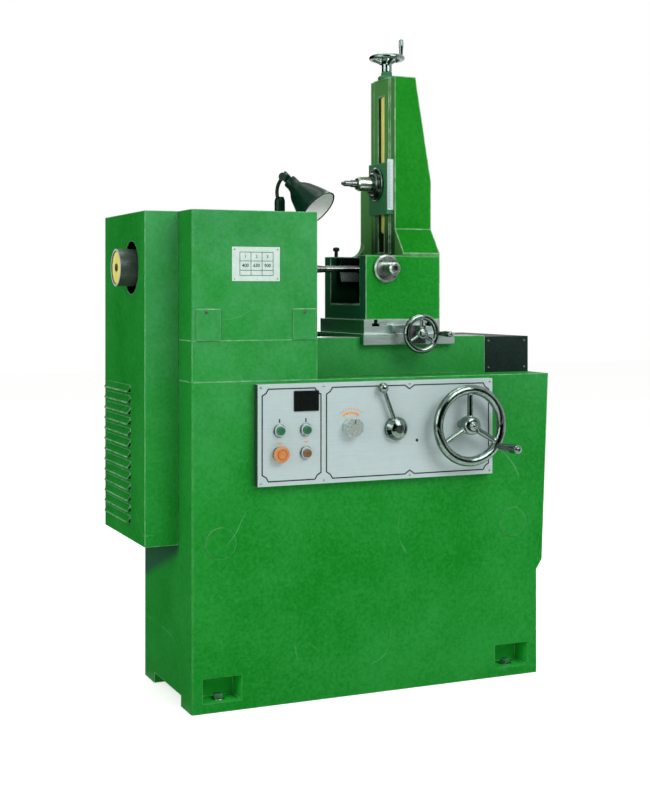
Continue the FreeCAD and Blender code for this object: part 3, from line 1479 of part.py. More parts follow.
def lamp_shade():
    """A bell-shaped shade with its socket and the tongue that it tilts on."""
    top = bed_top + size.head_height
    pivot_z = top + size.lamp_pivot + size.lamp_post_height
    tilt = FreeCAD.Rotation(FreeCAD.Vector(0, 1, 0), 90 + size.lamp_tilt.value)
    pivot_x = left + size.lamp_across + size.pivot_right
    pivot_y = front + size.lamp_depth - size.pivot_front
    body = new_piece("lamp_shade", (pivot_x, pivot_y, pivot_z), lamp_heading * tilt)
    start = size.socket_start
    neck = start + size.socket_length
    mouth = neck + size.shade_length
    wall = size.shade_wall
    widths = [(0.0, 0.0), (0.12, 0.28), (0.35, 0.52), (0.65, 0.77), (1.0, 1.0)]
    spread = size.shade_mouth - size.lamp_socket
    outside = [(size.lamp_socket + spread * w, neck + size.shade_length * h) for h, w in widths]
    inside = [(r - wall, z + wall) for r, z in outside[:-1]] + [(size.shade_mouth - wall, mouth)]
    outline = (
        [(0, start), (size.lamp_socket * 0.7, start), (size.lamp_socket, start + size.socket_start / 3)]
        + outside
        + inside[::-1]
        + [(0, neck + wall)]
    )
    spin(body, outline)
    half = size.tongue_thick / 2
    tongue = rectangle(-size.eye_radius, -size.eye_radius, size.eye_radius, start + half)
    pad(body, "XZ", -half, half, tongue)
    cut(body, "XZ", -half, half, Circle(0, 0, size.pivot_radius + size.run_gap))


base_cabinet()
rear_access_cover()
bed()
bed_end_guard()
headstock_housing()
speed_plate()
bearing("rear_bearing", left + size.bearing_inset)
bearing("front_bearing", left + size.head_width - size.bearing_inset - size.bearing_width)
spindle()
boring_bar()
spindle_pulley()
hand_disc()
motor_pulley()
drive_motor()
drive_belt()
belt_guard()
hinge("hinge_lower", size.hinge_low)
hinge("hinge_upper", size.hinge_high)
control_panel()
panel_display()
push_button("start_button", size.button_left, size.button_high, size.button_radius, size.button_out / 2)
push_button("run_button", size.button_right, size.button_high, size.button_radius, size.button_out / 2)
push_button("inch_button", size.button_right, size.button_low, size.button_radius, size.button_out / 2)
push_button("stop_button", size.button_left, size.button_low, size.mushroom_radius, size.mushroom_thick)
feed_knob()
feed_lever()
valve_block()
hydraulic_unit()
table_handwheel()
pinion_shaft()
idler_gear()
saddle()
feed_rack()
feed_cylinder()
piston_rod()
screw_bracket()
cross_screw()
cross_handwheel()
cross_slide()
fixture_body()
column()
column_cap()
column_screw()
column_handwheel()
carriage()
carriage_scale()
pin_sleeve()
locating_pin()
front_back = well_front + size.jaw_gap
front_nose = front_back + size.jaw_thick
vee_jaw("front_vee_jaw", front_back, front_nose, front_nose - size.vee_depth, True)
rear_nose = well_back - size.jaw_thick
vee_jaw("rear_vee_jaw", well_back, rear_nose, rear_nose + size.vee_depth, False)
clamp_nut()
clamp_screw()
clamp_stud()
lamp_base()
lamp_arm()
lamp_shade()

doc.recompute()
for item in doc.Objects:
    if "Invalid" in item.State or "Error" in item.State:
        raise ValueError(f"{item.Label} failed: {item.State}")
os.makedirs("parts", exist_ok=True)
for piece in pieces:
    shape = piece.Shape
    if shape.isNull() or not shape.isValid() or len(shape.Solids) != 1:
        raise ValueError(f"{piece.Label} is not one valid solid")
for piece in pieces:
    piece.Shape.exportStep(f"parts/{piece.Label}.step")
print(len(pieces), "pieces written")
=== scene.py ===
import json
import math

import bmesh
import bpy
from mathutils import Matrix, Vector


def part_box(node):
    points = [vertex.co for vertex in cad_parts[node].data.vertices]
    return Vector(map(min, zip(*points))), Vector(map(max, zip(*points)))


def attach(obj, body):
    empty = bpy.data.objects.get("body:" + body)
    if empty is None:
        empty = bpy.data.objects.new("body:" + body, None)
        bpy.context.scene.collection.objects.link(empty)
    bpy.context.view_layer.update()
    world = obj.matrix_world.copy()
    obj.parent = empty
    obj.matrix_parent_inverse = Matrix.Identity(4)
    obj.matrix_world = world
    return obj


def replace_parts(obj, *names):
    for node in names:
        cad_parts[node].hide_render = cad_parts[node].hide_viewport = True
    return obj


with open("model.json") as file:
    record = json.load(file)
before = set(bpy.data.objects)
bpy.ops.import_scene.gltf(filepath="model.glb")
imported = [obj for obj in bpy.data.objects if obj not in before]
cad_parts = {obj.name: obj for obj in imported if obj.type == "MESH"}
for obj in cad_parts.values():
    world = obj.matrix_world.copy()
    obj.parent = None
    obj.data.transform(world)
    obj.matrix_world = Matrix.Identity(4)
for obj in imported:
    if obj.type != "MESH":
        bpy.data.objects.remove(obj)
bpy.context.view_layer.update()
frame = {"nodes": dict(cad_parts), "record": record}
nodes = frame["nodes"]
print("frame loaded:", len(nodes), "CAD nodes")


# Node helpers: each takes sockets or plain values, and most hand back a socket

outputKinds = {"Colour": "NodeSocketColor", "Normal": "NodeSocketVector"}  # all others are plain values
grey = (0.5, 0.5, 0.5, 1.0)  # stands in until a material gives the colour


def socketKind(value):
    if not isinstance(value, tuple):
        return "NodeSocketFloat"
    return "NodeSocketColor" if len(value) == 4 else "NodeSocketVector"


def newGroup(name, inputs, outputs):
    group = bpy.data.node_groups.new(name, "ShaderNodeTree")
    for label, value in inputs.items():
        socket = group.interface.new_socket(label, in_out="INPUT", socket_type=socketKind(value))
        socket.default_value = value
    for label in outputs:
        kind = outputKinds.get(label, "NodeSocketFloat")
        group.interface.new_socket(label, in_out="OUTPUT", socket_type=kind)
    source, result = group.nodes.new("NodeGroupInput"), group.nodes.new("NodeGroupOutput")
    return group, source.outputs, result.inputs


def feed(tree, sockets, sources):
    # a link where the source is another node's socket, or else a plain value
    for label, source in sources.items():
        if isinstance(source, bpy.types.NodeSocket):
            tree.links.new(source, sockets[label])
        else:
            sockets[label].default_value = source


def addNode(tree, kind, sources=None, **settings):
    node = tree.nodes.new("ShaderNode" + kind)
    for key, value in settings.items():
        setattr(node, key, value)
    feed(tree, node.inputs, sources or {})
    return node


def maths(tree, operation, first, second=0.0, clamp=False):
    return addNode(tree, "Math", {0: first, 1: second}, operation=operation, use_clamp=clamp).outputs[0]


def product(tree, first, *others, clamp=False):
    for other in others:
        first = maths(tree, "MULTIPLY", first, other, clamp)
    return first


def mapped(tree, value, low, high, least=0.0, most=1.0):
    return addNode(tree, "MapRange", {"Value": value, 1: low, 2: high, 3: least, 4: most}).outputs[0]


def noise(tree, place, scale, detail, **more):
    return addNode(tree, "TexNoise", {"Vector": place, "Scale": scale, "Detail": detail, **more}).outputs[0]


def dotted(tree, first, second):
    return addNode(tree, "VectorMath", {0: first, 1: second}, operation="DOT_PRODUCT").outputs["Value"]


def mixColour(tree, factor, first, second):
    return addNode(tree, "Mix", {0: factor, 6: first, 7: second}, data_type="RGBA").outputs[2]


def splitAxes(tree, place):
    return addNode(tree, "SeparateXYZ", {0: place}).outputs


def partPlace(tree):
    return addNode(tree, "TexCoord").outputs["Object"]


def faceNormal(tree):
    return addNode(tree, "NewGeometry").outputs["True Normal"]


# Shared shader effects, each one a node group

def makeEdgeGroup():
    # rounds the sharp CAD edges in shading, and finds them for wear and a painted edge highlight
    group, take, give = newGroup(
        "edgeWearAndHighlight", {"Radius": 0.0015, "Breakup": 40.0, "Amount": 0.6, "Calm": 0.0}, ("Mask", "Normal"))
    rounded = addNode(group, "Bevel", {"Radius": take["Radius"]}, samples=4).outputs[0]
    bent = mapped(group, dotted(group, rounded, faceNormal(group)), 0.995, 0.90)
    patch = mapped(group, noise(group, partPlace(group), take["Breakup"], 3.0), 0.38, 0.62, 0.4)
    wornAndLit = product(group, bent, patch, take["Amount"], clamp=True)
    kept = maths(group, "SUBTRACT", 1.0, take["Calm"])
    feed(group, give, {"Mask": product(group, wornAndLit, kept), "Normal": rounded})
    return group


def makePaintGroup():
    # brushed-on enamel: slow colour drift, orange peel, and handling marks
    group, take, give = newGroup(
        "paintSkin",
        {"Colour": grey, "Drift Colour": grey, "Drift Scale": 4.0, "Mottle Scale": 110.0, "Peel Scale": 420.0,
         "Rough Low": 0.28, "Rough High": 0.46},
        ("Colour", "Roughness", "Height"))
    place = partPlace(group)
    drift = noise(group, place, take["Drift Scale"], 5.0, Roughness=0.6)
    mottle = noise(group, place, take["Mottle Scale"], 3.0, Roughness=0.7)
    share = mapped(group, maths(group, "ADD", drift, mottle), 0.78, 1.24)
    rub = noise(group, place, 14.0, 6.0, Roughness=0.7)
    feed(group, give, {"Colour": mixColour(group, share, take["Colour"], take["Drift Colour"]),
                       "Roughness": mapped(group, rub, 0.3, 0.7, take["Rough Low"], take["Rough High"]),
                       "Height": noise(group, place, take["Peel Scale"], 2.0)})
    return group


def makeGrainGroup():
    # tool marks on turned and ground metal: fine lines drawn out along one direction
    group, take, give = newGroup(
        "machinedGrain",
        {"Colour": grey, "Dark Colour": grey, "Stretch": (1.0, 1.0, 1.0), "Scale": 500.0, "Rough Low": 0.2,
         "Rough High": 0.4},
        ("Colour", "Roughness", "Height"))
    place = partPlace(group)
    drawn = addNode(group, "VectorMath", {0: place, 1: take["Stretch"]}, operation="MULTIPLY").outputs[0]
    lines = noise(group, drawn, take["Scale"], 3.0)
    stained = maths(group, "ADD", lines, noise(group, place, 22.0, 5.0, Roughness=0.65))
    share = mapped(group, stained, 0.75, 1.3)
    feed(group, give, {"Colour": mixColour(group, share, take["Colour"], take["Dark Colour"]),
                       "Roughness": mapped(group, stained, 0.7, 1.3, take["Rough Low"], take["Rough High"]),
                       "Height": lines})
    return group


def makeRegionGroup():
    # full inside a box of the part's own space, nothing outside it
    group, take, give = newGroup(
        "regionMask", {"Low": (0.0, 0.0, 0.0), "High": (1.0, 1.0, 1.0), "Share": 1.0}, ("Mask",))
    spot = splitAxes(group, partPlace(group))
    low, high = splitAxes(group, take["Low"]), splitAxes(group, take["High"])
    inside = take["Share"]
    for axis in range(3):
        above = maths(group, "GREATER_THAN", spot[axis], low[axis])
        below = maths(group, "LESS_THAN", spot[axis], high[axis])
        inside = product(group, inside, above, below)
    feed(group, give, {"Mask": inside})
    return group


def newLayer(name, inputs):
    # the start of every effect that lays its own colour over the one below
    return newGroup(name, {"Under": grey, "Colour": grey, "Amount": 1.0, **inputs}, ("Colour",))


def endLayer(group, take, give, mask):
    feed(group, give, {"Colour": mixColour(group, mask, take["Under"], take["Colour"])})
    return group


def makeCoatAndLightGroup():
    # faces that look one way carry another colour: a second coat on some parts, painted light and painted shade on
    # one side of others
    group, take, give = newLayer("faceCoatAndPaintedLight", {"Facing": (0.0, 0.0, 1.0)})
    turned = dotted(group, faceNormal(group), take["Facing"])
    return endLayer(group, take, give, mapped(group, turned, 0.75, 0.95, 0.0, take["Amount"]))


def makePaintedSheenGroup():
    # painted sheen: a pale haze in patches, growing towards the top, on faces turned one way
    group, take, give = newLayer("chalkFade", {"Low": 0.2, "High": 1.2, "Facing": (0.0, 0.0, 1.0)})
    place = partPlace(group)
    rise = mapped(group, splitAxes(group, place)["Z"], take["Low"], take["High"])
    patch = mapped(group, noise(group, place, 7.0, 7.0, Roughness=0.62), 0.32, 0.68, 0.3, 1.7)
    turned = dotted(group, faceNormal(group), take["Facing"])
    return endLayer(group, take, give, product(group, take["Amount"], rise, patch, turned, clamp=True))


def makeScratchGroup():
    # a few long pale scratches, where things rubbed past
    group, take, give = newLayer("rubScratches", {"Scale": 2.4, "Width": 0.004})
    place = partPlace(group)
    path = maths(group, "SUBTRACT", noise(group, place, take["Scale"], 1.0, Distortion=0.4), 0.5)
    line = mapped(group, maths(group, "ABSOLUTE", path), 0.0, take["Width"], 1.0, 0.0)
    where = mapped(group, noise(group, place, 6.0, 3.0), 0.54, 0.64)
    return endLayer(group, take, give, product(group, take["Amount"], line, where))


def makePaintedShadeGroup():
    # painted shade, darkest in a corner and thinning out along a slope
    group, take, give = newLayer("paintedShadeSlope", {"Slope": (0.0, 0.0, -1.0), "Start": 0.0, "Full": 0.1})
    along = dotted(group, partPlace(group), take["Slope"])
    fade = mapped(group, along, take["Start"], take["Full"])
    return endLayer(group, take, give, product(group, fade, take["Amount"]))


edgeGroup = makeEdgeGroup()
paintGroup = makePaintGroup()
grainGroup = makeGrainGroup()
regionGroup = makeRegionGroup()
paintedShadeGroup = makePaintedShadeGroup()
# laid on in this order
layers = {"chalk": makePaintedSheenGroup(), "scratch": makeScratchGroup(), "tint": makeCoatAndLightGroup()}


# Materials

def socketLabel(key):
    # driftColour in a dictionary is Drift Colour on a socket
    return "".join(" " + letter if letter.isupper() else letter for letter in key).title()


def useGroup(tree, group, **values):
    node = addNode(tree, "Group", node_tree=group)
    feed(tree, node.inputs, {socketLabel(key): value for key, value in values.items()})
    return node.outputs


def startMaterial(name, constants):
    material = bpy.data.materials.new(name)
    material.use_nodes = True
    tree = material.node_tree
    shader = tree.nodes["Principled BSDF"].inputs
    feed(tree, shader, constants)
    return material, tree, shader


def rgba(red, green, blue):
    return (red, green, blue, 1.0)


def maskRegion(tree, region, share):
    return useGroup(tree, regionGroup, low=region["low"], high=region["high"], share=share)["Mask"]


hollowShare = 0.95  # a little of the paint's own colour still shows under the painted light and shade of a hollow


def bodyColour(tree, shader, colour, finish):
    for key, group in layers.items():
        if key in finish:
            colour = useGroup(tree, group, under=colour, **finish[key])["Colour"]
    # painted shade laid over the paint
    if "paintedShade" in finish:
        paintedShade = finish["paintedShade"]
        amount = maskRegion(tree, paintedShade, paintedShade["amount"])
        colour = useGroup(tree, paintedShadeGroup, under=colour, colour=paintedShade["colour"], slope=paintedShade["slope"],
                          start=paintedShade["start"], full=paintedShade["full"], amount=amount)["Colour"]
    if "hollow" in finish:  # a hollow gets painted shade, and the foot pockets get painted light
        hollow = finish["hollow"]
        colour = mixColour(tree, maskRegion(tree, hollow, hollowShare), colour, hollow["colour"])
    if "bare" in finish:  # slideways are ground metal, not paint
        bare = maskRegion(tree, finish["bare"], 1.0)
        colour = mixColour(tree, bare, colour, finish["bare"]["colour"])
        feed(tree, shader, {"Metallic": bare})
    return colour


def dress(tree, shader, skin, finish):
    # layers, worn edges with a painted highlight, and bump over a paint's or a metal's own skin
    calm = maskRegion(tree, finish["calm"], finish["calm"]["share"]) if "calm" in finish else 0.0
    edge = useGroup(tree, edgeGroup, radius=finish["round"], amount=finish["wear"], calm=calm)
    body = bodyColour(tree, shader, skin["Colour"], finish)
    worn = finish.get("worn") or finish["drift"]  # plastics only show their drift colour
    bump = addNode(tree, "Bump", {"Height": skin["Height"], "Normal": edge["Normal"],
                                  "Distance": finish["bumpDepth"], "Strength": finish["bump"]})
    feed(tree, shader, {"Base Color": mixColour(tree, edge["Mask"], body, worn),
                        "Roughness": skin["Roughness"], "Normal": bump.outputs[0]})


def makePaint(name, finish):
    material, tree, shader = startMaterial(name, {"Specular IOR Level": finish["shine"]})
    skin = useGroup(tree, paintGroup, colour=finish["colour"], driftColour=finish["drift"],
                    driftScale=finish["driftScale"], peelScale=finish["peelScale"],
                    roughLow=finish["low"], roughHigh=finish["high"])
    dress(tree, shader, skin, finish)
    return material


def makeMetal(name, finish):
    material, tree, shader = startMaterial(name, {"Metallic": finish["metallic"]})
    skin = useGroup(tree, grainGroup, colour=finish["colour"], darkColour=finish["dark"],
                    stretch=finish["stretch"], scale=finish["scale"],
                    roughLow=finish["low"], roughHigh=finish["high"])
    dress(tree, shader, skin, finish)
    return material


# what a finish has unless it says otherwise
paintBase = dict(driftScale=4.0, peelScale=420.0, bumpDepth=0.0003, bump=0.25)
metalBase = dict(stretch=(1, 1, 1), scale=300.0, metallic=1.0, round=0.0012, wear=0.5, bumpDepth=0.0002, bump=0.12)
plasticBase = dict(driftScale=60.0, peelScale=900.0, low=0.2, high=0.34, shine=0.5, round=0.0008, wear=0.15,
                   bumpDepth=0.0001, bump=0.15)

# the pale edge colour is paint wear and a painted edge highlight
machineGreen = dict(colour=rgba(0.005, 0.182, 0.013), drift=rgba(0.019, 0.245, 0.036),
                    worn=rgba(0.40, 0.72, 0.46), wear=0.9, low=0.36, high=0.54, shine=0.02, round=0.0036,
                    # painted sheen on the front and top faces, paler higher up
                    chalk=dict(colour=rgba(0.36, 0.72, 0.60), low=0.50, high=1.35, amount=0.095,
                               facing=(0.0, -1.0, 0.45)),
                    scratch=dict(colour=rgba(0.28, 0.62, 0.38), scale=2.4, width=0.0026, amount=0.22))
columnGreen = dict(worn=rgba(0.66, 0.90, 0.68), wear=1.0, low=0.42, high=0.6, shine=0.02, round=0.0052)
paintFinishes = {
    "greenEnamel": machineGreen,
    "cabinetEnamel": dict(
        machineGreen,
        hollow=dict(low=(-0.430, -0.1555, 0.0235), high=(0.520, 0.2375, 0.0845),
                    colour=rgba(0.018, 0.44, 0.045)),  # painted light: the foot pockets made lighter to lift their shade
        calm=dict(low=(-0.425, -0.1595, 0.015), high=(0.515, -0.150, 0.530), share=0.72),
        # painted shadow of the belt guard on the cabinet's left side, fading out on a slant
        paintedShade=dict(low=(-0.4385, -0.056, 0.230), high=(-0.4375, 0.2395, 0.3932), amount=0.9,
                   slope=(0, 0.37, 1), start=0.340, full=0.366, colour=rgba(0.020, 0.080, 0.047))),
    "headEnamel": dict(
        machineGreen, scratch=dict(machineGreen["scratch"], amount=0.08),
        calm=dict(low=(-0.430, -0.1615, 0.9005), high=(-0.113, -0.155, 0.974), share=0.62)),
    "bedEnamel": dict(
        machineGreen,
        bare=dict(low=(-0.105, -0.054, 0.8994), high=(0.428, 0.312, 0.9006), colour=rgba(0.20, 0.25, 0.23))),
    "columnEnamel": dict(
        columnGreen, colour=rgba(0.005, 0.170, 0.008), drift=rgba(0.014, 0.220, 0.018),
        # painted light: the column's left faces a paler, greyer green, partly the greasy slideway's own tone
        tint=dict(facing=(-1, 0, 0), colour=rgba(0.066, 0.220, 0.055), amount=0.92),
        # painted shade low on the column's left side, darker towards the bottom
        paintedShade=dict(low=(0.150, -0.004, 1.115), high=(0.1825, 0.140, 1.240), amount=0.85,
                   slope=(0, 0, -1), start=-1.240, full=-1.150, colour=rgba(0.005, 0.036, 0.012)),
        # painted shade inside the slot of the column screw
        hollow=dict(low=(0.1765, 0.046, 1.120), high=(0.240, 0.086, 1.552), colour=rgba(0.004, 0.030, 0.008))),
    "fixtureEnamel": dict(
        columnGreen, colour=rgba(0.006, 0.195, 0.014), drift=rgba(0.020, 0.260, 0.034),
        # painted shade on the fixture's left faces
        tint=dict(facing=(-1, 0, 0), colour=rgba(0.007, 0.105, 0.050), amount=0.95),
        # painted shade inside the fixture's well
        hollow=dict(low=(0.060, -0.0175, 0.984), high=(0.2675, 0.1735, 1.1145), colour=rgba(0.003, 0.018, 0.010))),
    "darkGreenEnamel": dict(colour=rgba(0.024, 0.145, 0.055), drift=rgba(0.036, 0.190, 0.076),
                            worn=rgba(0.22, 0.44, 0.26), wear=0.8, low=0.4, high=0.55, shine=0.1, round=0.002),
    "blackEnamel": dict(colour=rgba(0.004, 0.012, 0.009), drift=rgba(0.010, 0.026, 0.020),
                        worn=rgba(0.09, 0.13, 0.11), wear=0.5, low=0.45, high=0.62, shine=0.12, round=0.002),
    "lampEnamel": dict(colour=rgba(0.002, 0.016, 0.008), drift=rgba(0.004, 0.030, 0.016),
                       worn=rgba(0.10, 0.20, 0.15), wear=0.4, low=0.12, high=0.2, shine=0.09, round=0.001),
    "motorEnamel": dict(colour=rgba(0.10, 0.12, 0.13), drift=rgba(0.14, 0.16, 0.17),
                        worn=rgba(0.4, 0.42, 0.42), wear=0.5, low=0.4, high=0.6, shine=0.2, round=0.002),
}
metalFinishes = {
    "turnedSteel": dict(colour=rgba(0.43, 0.49, 0.45), dark=rgba(0.27, 0.32, 0.29), low=0.2, high=0.38,
                        worn=rgba(0.85, 0.87, 0.86)),
    # oiled steel of the vee jaws, made near black as painted shade of the fixture's well
    "oiledSteel": dict(colour=rgba(0.04, 0.052, 0.046), dark=rgba(0.016, 0.022, 0.02), scale=240.0, low=0.38,
                       high=0.55, worn=rgba(0.40, 0.45, 0.42)),
    "barSteel": dict(colour=rgba(0.20, 0.23, 0.21), dark=rgba(0.10, 0.12, 0.11), stretch=(1, 0.1, 0.1),
                     scale=420.0, low=0.16, high=0.28, worn=rgba(0.75, 0.78, 0.76)),
    "sleeveSteel": dict(colour=rgba(0.46, 0.53, 0.46), dark=rgba(0.30, 0.37, 0.31), low=0.2, high=0.36,
                        worn=rgba(0.82, 0.88, 0.82),
                        # painted shade over the sleeve round its flange
                        hollow=dict(low=(0.1385, 0.0, 1.2), high=(0.165, 0.2, 1.4),
                                    colour=rgba(0.035, 0.085, 0.05))),
    "groundIron": dict(colour=rgba(0.58, 0.71, 0.67), dark=rgba(0.42, 0.53, 0.49), stretch=(0.05, 1, 1),
                       scale=420.0, low=0.3, high=0.48, worn=rgba(0.85, 0.88, 0.87),
                       tint=dict(facing=(-1, 0, 0), colour=rgba(0.045, 0.36, 0.145), amount=0.97)),
    "castIron": dict(colour=rgba(0.16, 0.17, 0.17), dark=rgba(0.09, 0.10, 0.10), scale=260.0, low=0.45, high=0.65,
                     worn=rgba(0.45, 0.46, 0.46)),
    "discIron": dict(colour=rgba(0.075, 0.10, 0.085), dark=rgba(0.03, 0.045, 0.04), scale=260.0, low=0.3,
                     high=0.5, worn=rgba(0.75, 0.78, 0.76), metallic=0.4,
                     tint=dict(facing=(-1, 0, 0), colour=rgba(0.78, 0.82, 0.78), amount=0.95)),
    # chrome, its colour made dark and greenish as a painted reflection of dark, green surroundings
    "brightChrome": dict(colour=rgba(0.19, 0.26, 0.225), dark=rgba(0.09, 0.13, 0.11), scale=160.0, low=0.06,
                         high=0.13, worn=rgba(0.66, 0.74, 0.70), round=0.004),
    "yellowBrass": dict(colour=rgba(0.80, 0.68, 0.17), dark=rgba(0.62, 0.50, 0.10), low=0.3, high=0.48,
                        worn=rgba(0.92, 0.86, 0.45)),
    "satinPanel": dict(colour=rgba(0.52, 0.63, 0.63), dark=rgba(0.45, 0.56, 0.56), stretch=(0.04, 1, 1),
                       scale=600.0, low=0.36, high=0.48, worn=rgba(0.78, 0.86, 0.82), metallic=0.35, bump=0.06,
                       # painted shade on the panel's left side
                       tint=dict(facing=(-1, 0, 0), colour=rgba(0.006, 0.03, 0.014), amount=0.95)),
    "knobSteel": dict(colour=rgba(0.56, 0.65, 0.61), dark=rgba(0.40, 0.49, 0.45), low=0.22, high=0.34,
                      worn=rgba(0.90, 0.95, 0.92), metallic=0.6),
    # yellow of the column screw, made extra bright as painted light against the shade of its slot; the hand disc's
    # face shares it
    "yellowScrew": dict(colour=rgba(0.90, 0.84, 0.24), dark=rgba(0.82, 0.74, 0.17), low=0.4, high=0.55,
                        worn=rgba(0.92, 0.90, 0.50), metallic=0.1),
}
plasticFinishes = {
    "greenButton": dict(colour=rgba(0.010, 0.115, 0.040), drift=rgba(0.014, 0.14, 0.05)),
    "brownButton": dict(colour=rgba(0.14, 0.075, 0.030), drift=rgba(0.17, 0.09, 0.04)),
    "orangeButton": dict(colour=rgba(0.46, 0.175, 0.050), drift=rgba(0.54, 0.235, 0.080)),
    "orangeDeep": dict(colour=rgba(0.42, 0.085, 0.014), drift=rgba(0.48, 0.11, 0.02)),
    "displayGlass": dict(colour=rgba(0.003, 0.005, 0.0045), drift=rgba(0.005, 0.008, 0.007), shine=0.15),
    "beltRubber": dict(colour=rgba(0.012, 0.012, 0.012), drift=rgba(0.02, 0.02, 0.02)),
    # dark ink for print; also the painted shade of screw slots and the clamp socket
    "darkInk": dict(colour=rgba(0.012, 0.028, 0.024), drift=rgba(0.02, 0.04, 0.034)),
    "orangeInk": dict(colour=rgba(0.78, 0.26, 0.03), drift=rgba(0.84, 0.34, 0.06)),
    "whiteEnamel": dict(colour=rgba(0.80, 0.82, 0.80), drift=rgba(0.74, 0.77, 0.75)),
    "plateWhite": dict(colour=rgba(0.54, 0.66, 0.60), drift=rgba(0.46, 0.58, 0.53)),
}
finishes = {}
for table, base, make in ((paintFinishes, paintBase, makePaint), (metalFinishes, metalBase, makeMetal),
                          (plasticFinishes, plasticBase, makePaint)):
    for name, finish in table.items():
        finishes[name] = make(name, {**base, **finish})
print("materials ready:", len(finishes))

slotFinish = {
    "green_paint": "greenEnamel", "black_paint": "blackEnamel", "machined_steel": "turnedSteel",
    "scraped_iron": "groundIron", "cast_grey": "castIron", "motor_grey": "motorEnamel",
    "panel_silver": "satinPanel", "display_black": "displayGlass", "belt_rubber": "beltRubber",
    "yellow_brass": "yellowBrass", "bright_chrome": "brightChrome", "dark_green_iron": "darkGreenEnamel",
    "green_plastic": "greenButton", "brown_plastic": "brownButton", "orange_plastic": "orangeButton",
    "lamp_green": "lampEnamel",
}
nodeFinish = {
    "speed_plate": "plateWhite", "lamp_base": "lampEnamel", "lamp_arm": "lampEnamel", "hand_disc": "discIron",
    "column": "columnEnamel", "fixture_body": "fixtureEnamel", "front_vee_jaw": "oiledSteel",
    "rear_vee_jaw": "oiledSteel", "feed_knob": "knobSteel", "boring_bar": "barSteel",
    "locating_pin": "barSteel", "pin_sleeve": "sleeveSteel", "column_cap": "darkGreenEnamel",
    "bed": "bedEnamel", "base_cabinet": "cabinetEnamel", "headstock_housing": "headEnamel",
}
finishSlot = {finish: slot for slot, finish in slotFinish.items()}
finishSlot.update(yellowScrew="yellow_brass", orangeDeep="orange_plastic", darkInk="black_paint")

for part in frame["record"]["subparts"]:
    node = nodes[part["node"]]
    finish = nodeFinish.get(part["node"], slotFinish[part["material_slot"]])
    node.data.materials.clear()
    node.data.materials.append(finishes[finish])
print("CAD nodes finished")


# Modelling helpers

front, rear, leftward, upward = (0, -1, 0), (0, 1, 0), (-1, 0, 0), (0, 0, 1)
sharpAngle = math.radians(35)  # edges that bend more than this stay sharp
hexBevel = 0.0008


def newObject(name, data):
    item = bpy.data.objects.new(name, data)
    bpy.context.scene.collection.objects.link(item)
    return item


def meshObject(name, shape, material):
    mesh = bpy.data.meshes.new(name)
    shape.to_mesh(mesh)
    shape.free()
    mesh.materials.append(material)
    return newObject(name, mesh)


def finishPiece(name, shape, finish, body, smooth=True):
    piece = meshObject(name, shape, finishes[finish])
    piece.data.polygons.foreach_set("use_smooth", [smooth] * len(piece.data.polygons))
    if smooth:
        piece.data.set_sharp_from_angle(angle=sharpAngle)
    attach(piece, body)
    return piece


def placed(centre, axis=upward, turn=0.0):
    # matrix that stands a piece modelled about Z at a place, along an axis
    lay = Vector(axis).to_track_quat("Z", "Y").to_matrix().to_4x4()
    return Matrix.Translation(Vector(centre)) @ lay @ Matrix.Rotation(turn, 4, "Z")


def spun(profile, matrix, steps=32):
    # a turned shape from (radius, height) points
    bm = bmesh.new()
    points = [bm.verts.new((radius, 0, height)) for radius, height in profile]
    edges = [bm.edges.new(pair) for pair in zip(points, points[1:])]
    bmesh.ops.spin(bm, geom=points + edges, axis=upward, cent=(0, 0, 0), angle=math.tau, steps=steps,
                   use_merge=True)
    bmesh.ops.remove_doubles(bm, verts=bm.verts, dist=1e-7)
    bmesh.ops.recalc_face_normals(bm, faces=bm.faces)
    bmesh.ops.transform(bm, matrix=matrix, verts=bm.verts)
    return bm


def ringShape(section, radius, height, matrix, steps):
    # a turned ring from a closed section round (radius, height)
    loop = [(radius + across, height + along) for across, along in section]
    return spun(loop + loop[:1], matrix, steps)


turnedShapes = {  # points as shares of the radius and of the height
    "capScrew": ((0, 0.35), (0.58, 0.35), (0.58, 1), (0.86, 1), (1, 0.84), (1, 0), (0, 0)),
    "panScrew": ((0, 1), (0.5, 0.93), (0.82, 0.66), (1, 0.2), (1, 0), (0, 0)),
    "washer": ((0, 1), (0.92, 1), (1, 0.6), (1, 0), (0, 0)),
    "plainWasher": ((0, 1), (1, 1), (1, 0), (0, 0)),
    "domeNut": ((0, 0.62), (0.35, 0.56), (0.62, 0.36), (0.70, 0.16), (1, 0.14), (1, 0), (0, 0)),
}


def turnedPart(kind, radius, tall, matrix, steps=32):
    return spun([(radius * across, tall * along) for across, along in turnedShapes[kind]], matrix, steps)


def raiseFaces(bm, height):
    # draws flat faces up into a closed body
    drawn = bmesh.ops.extrude_face_region(bm, geom=bm.faces[:])
    top = [item for item in drawn["geom"] if isinstance(item, bmesh.types.BMVert)]
    bmesh.ops.translate(bm, vec=(0, 0, height), verts=top)
    bmesh.ops.recalc_face_normals(bm, faces=bm.faces)


def prism(outline, low, high, matrix, bevel=0.0):
    # a flat outline in X and Y, drawn out along Z
    bm = bmesh.new()
    bm.faces.new([bm.verts.new((x, y, low)) for x, y in outline])
    raiseFaces(bm, high - low)
    if bevel:
        bmesh.ops.bevel(bm, geom=bm.edges[:], offset=bevel, affect="EDGES", segments=2, profile=0.5, material=-1)
    bmesh.ops.transform(bm, matrix=matrix, verts=bm.verts)
    return bm


def joined(shapes):
    whole = bmesh.new()
    for shape in shapes:
        mesh = bpy.data.meshes.new("part")
        shape.to_mesh(mesh)
        shape.free()
        whole.from_mesh(mesh)
        bpy.data.meshes.remove(mesh)
    return whole


def ringOutline(sides, radius, start=0.0):
    angles = [start + math.tau * k / sides for k in range(sides)]
    return [(radius * math.cos(angle), radius * math.sin(angle)) for angle in angles]


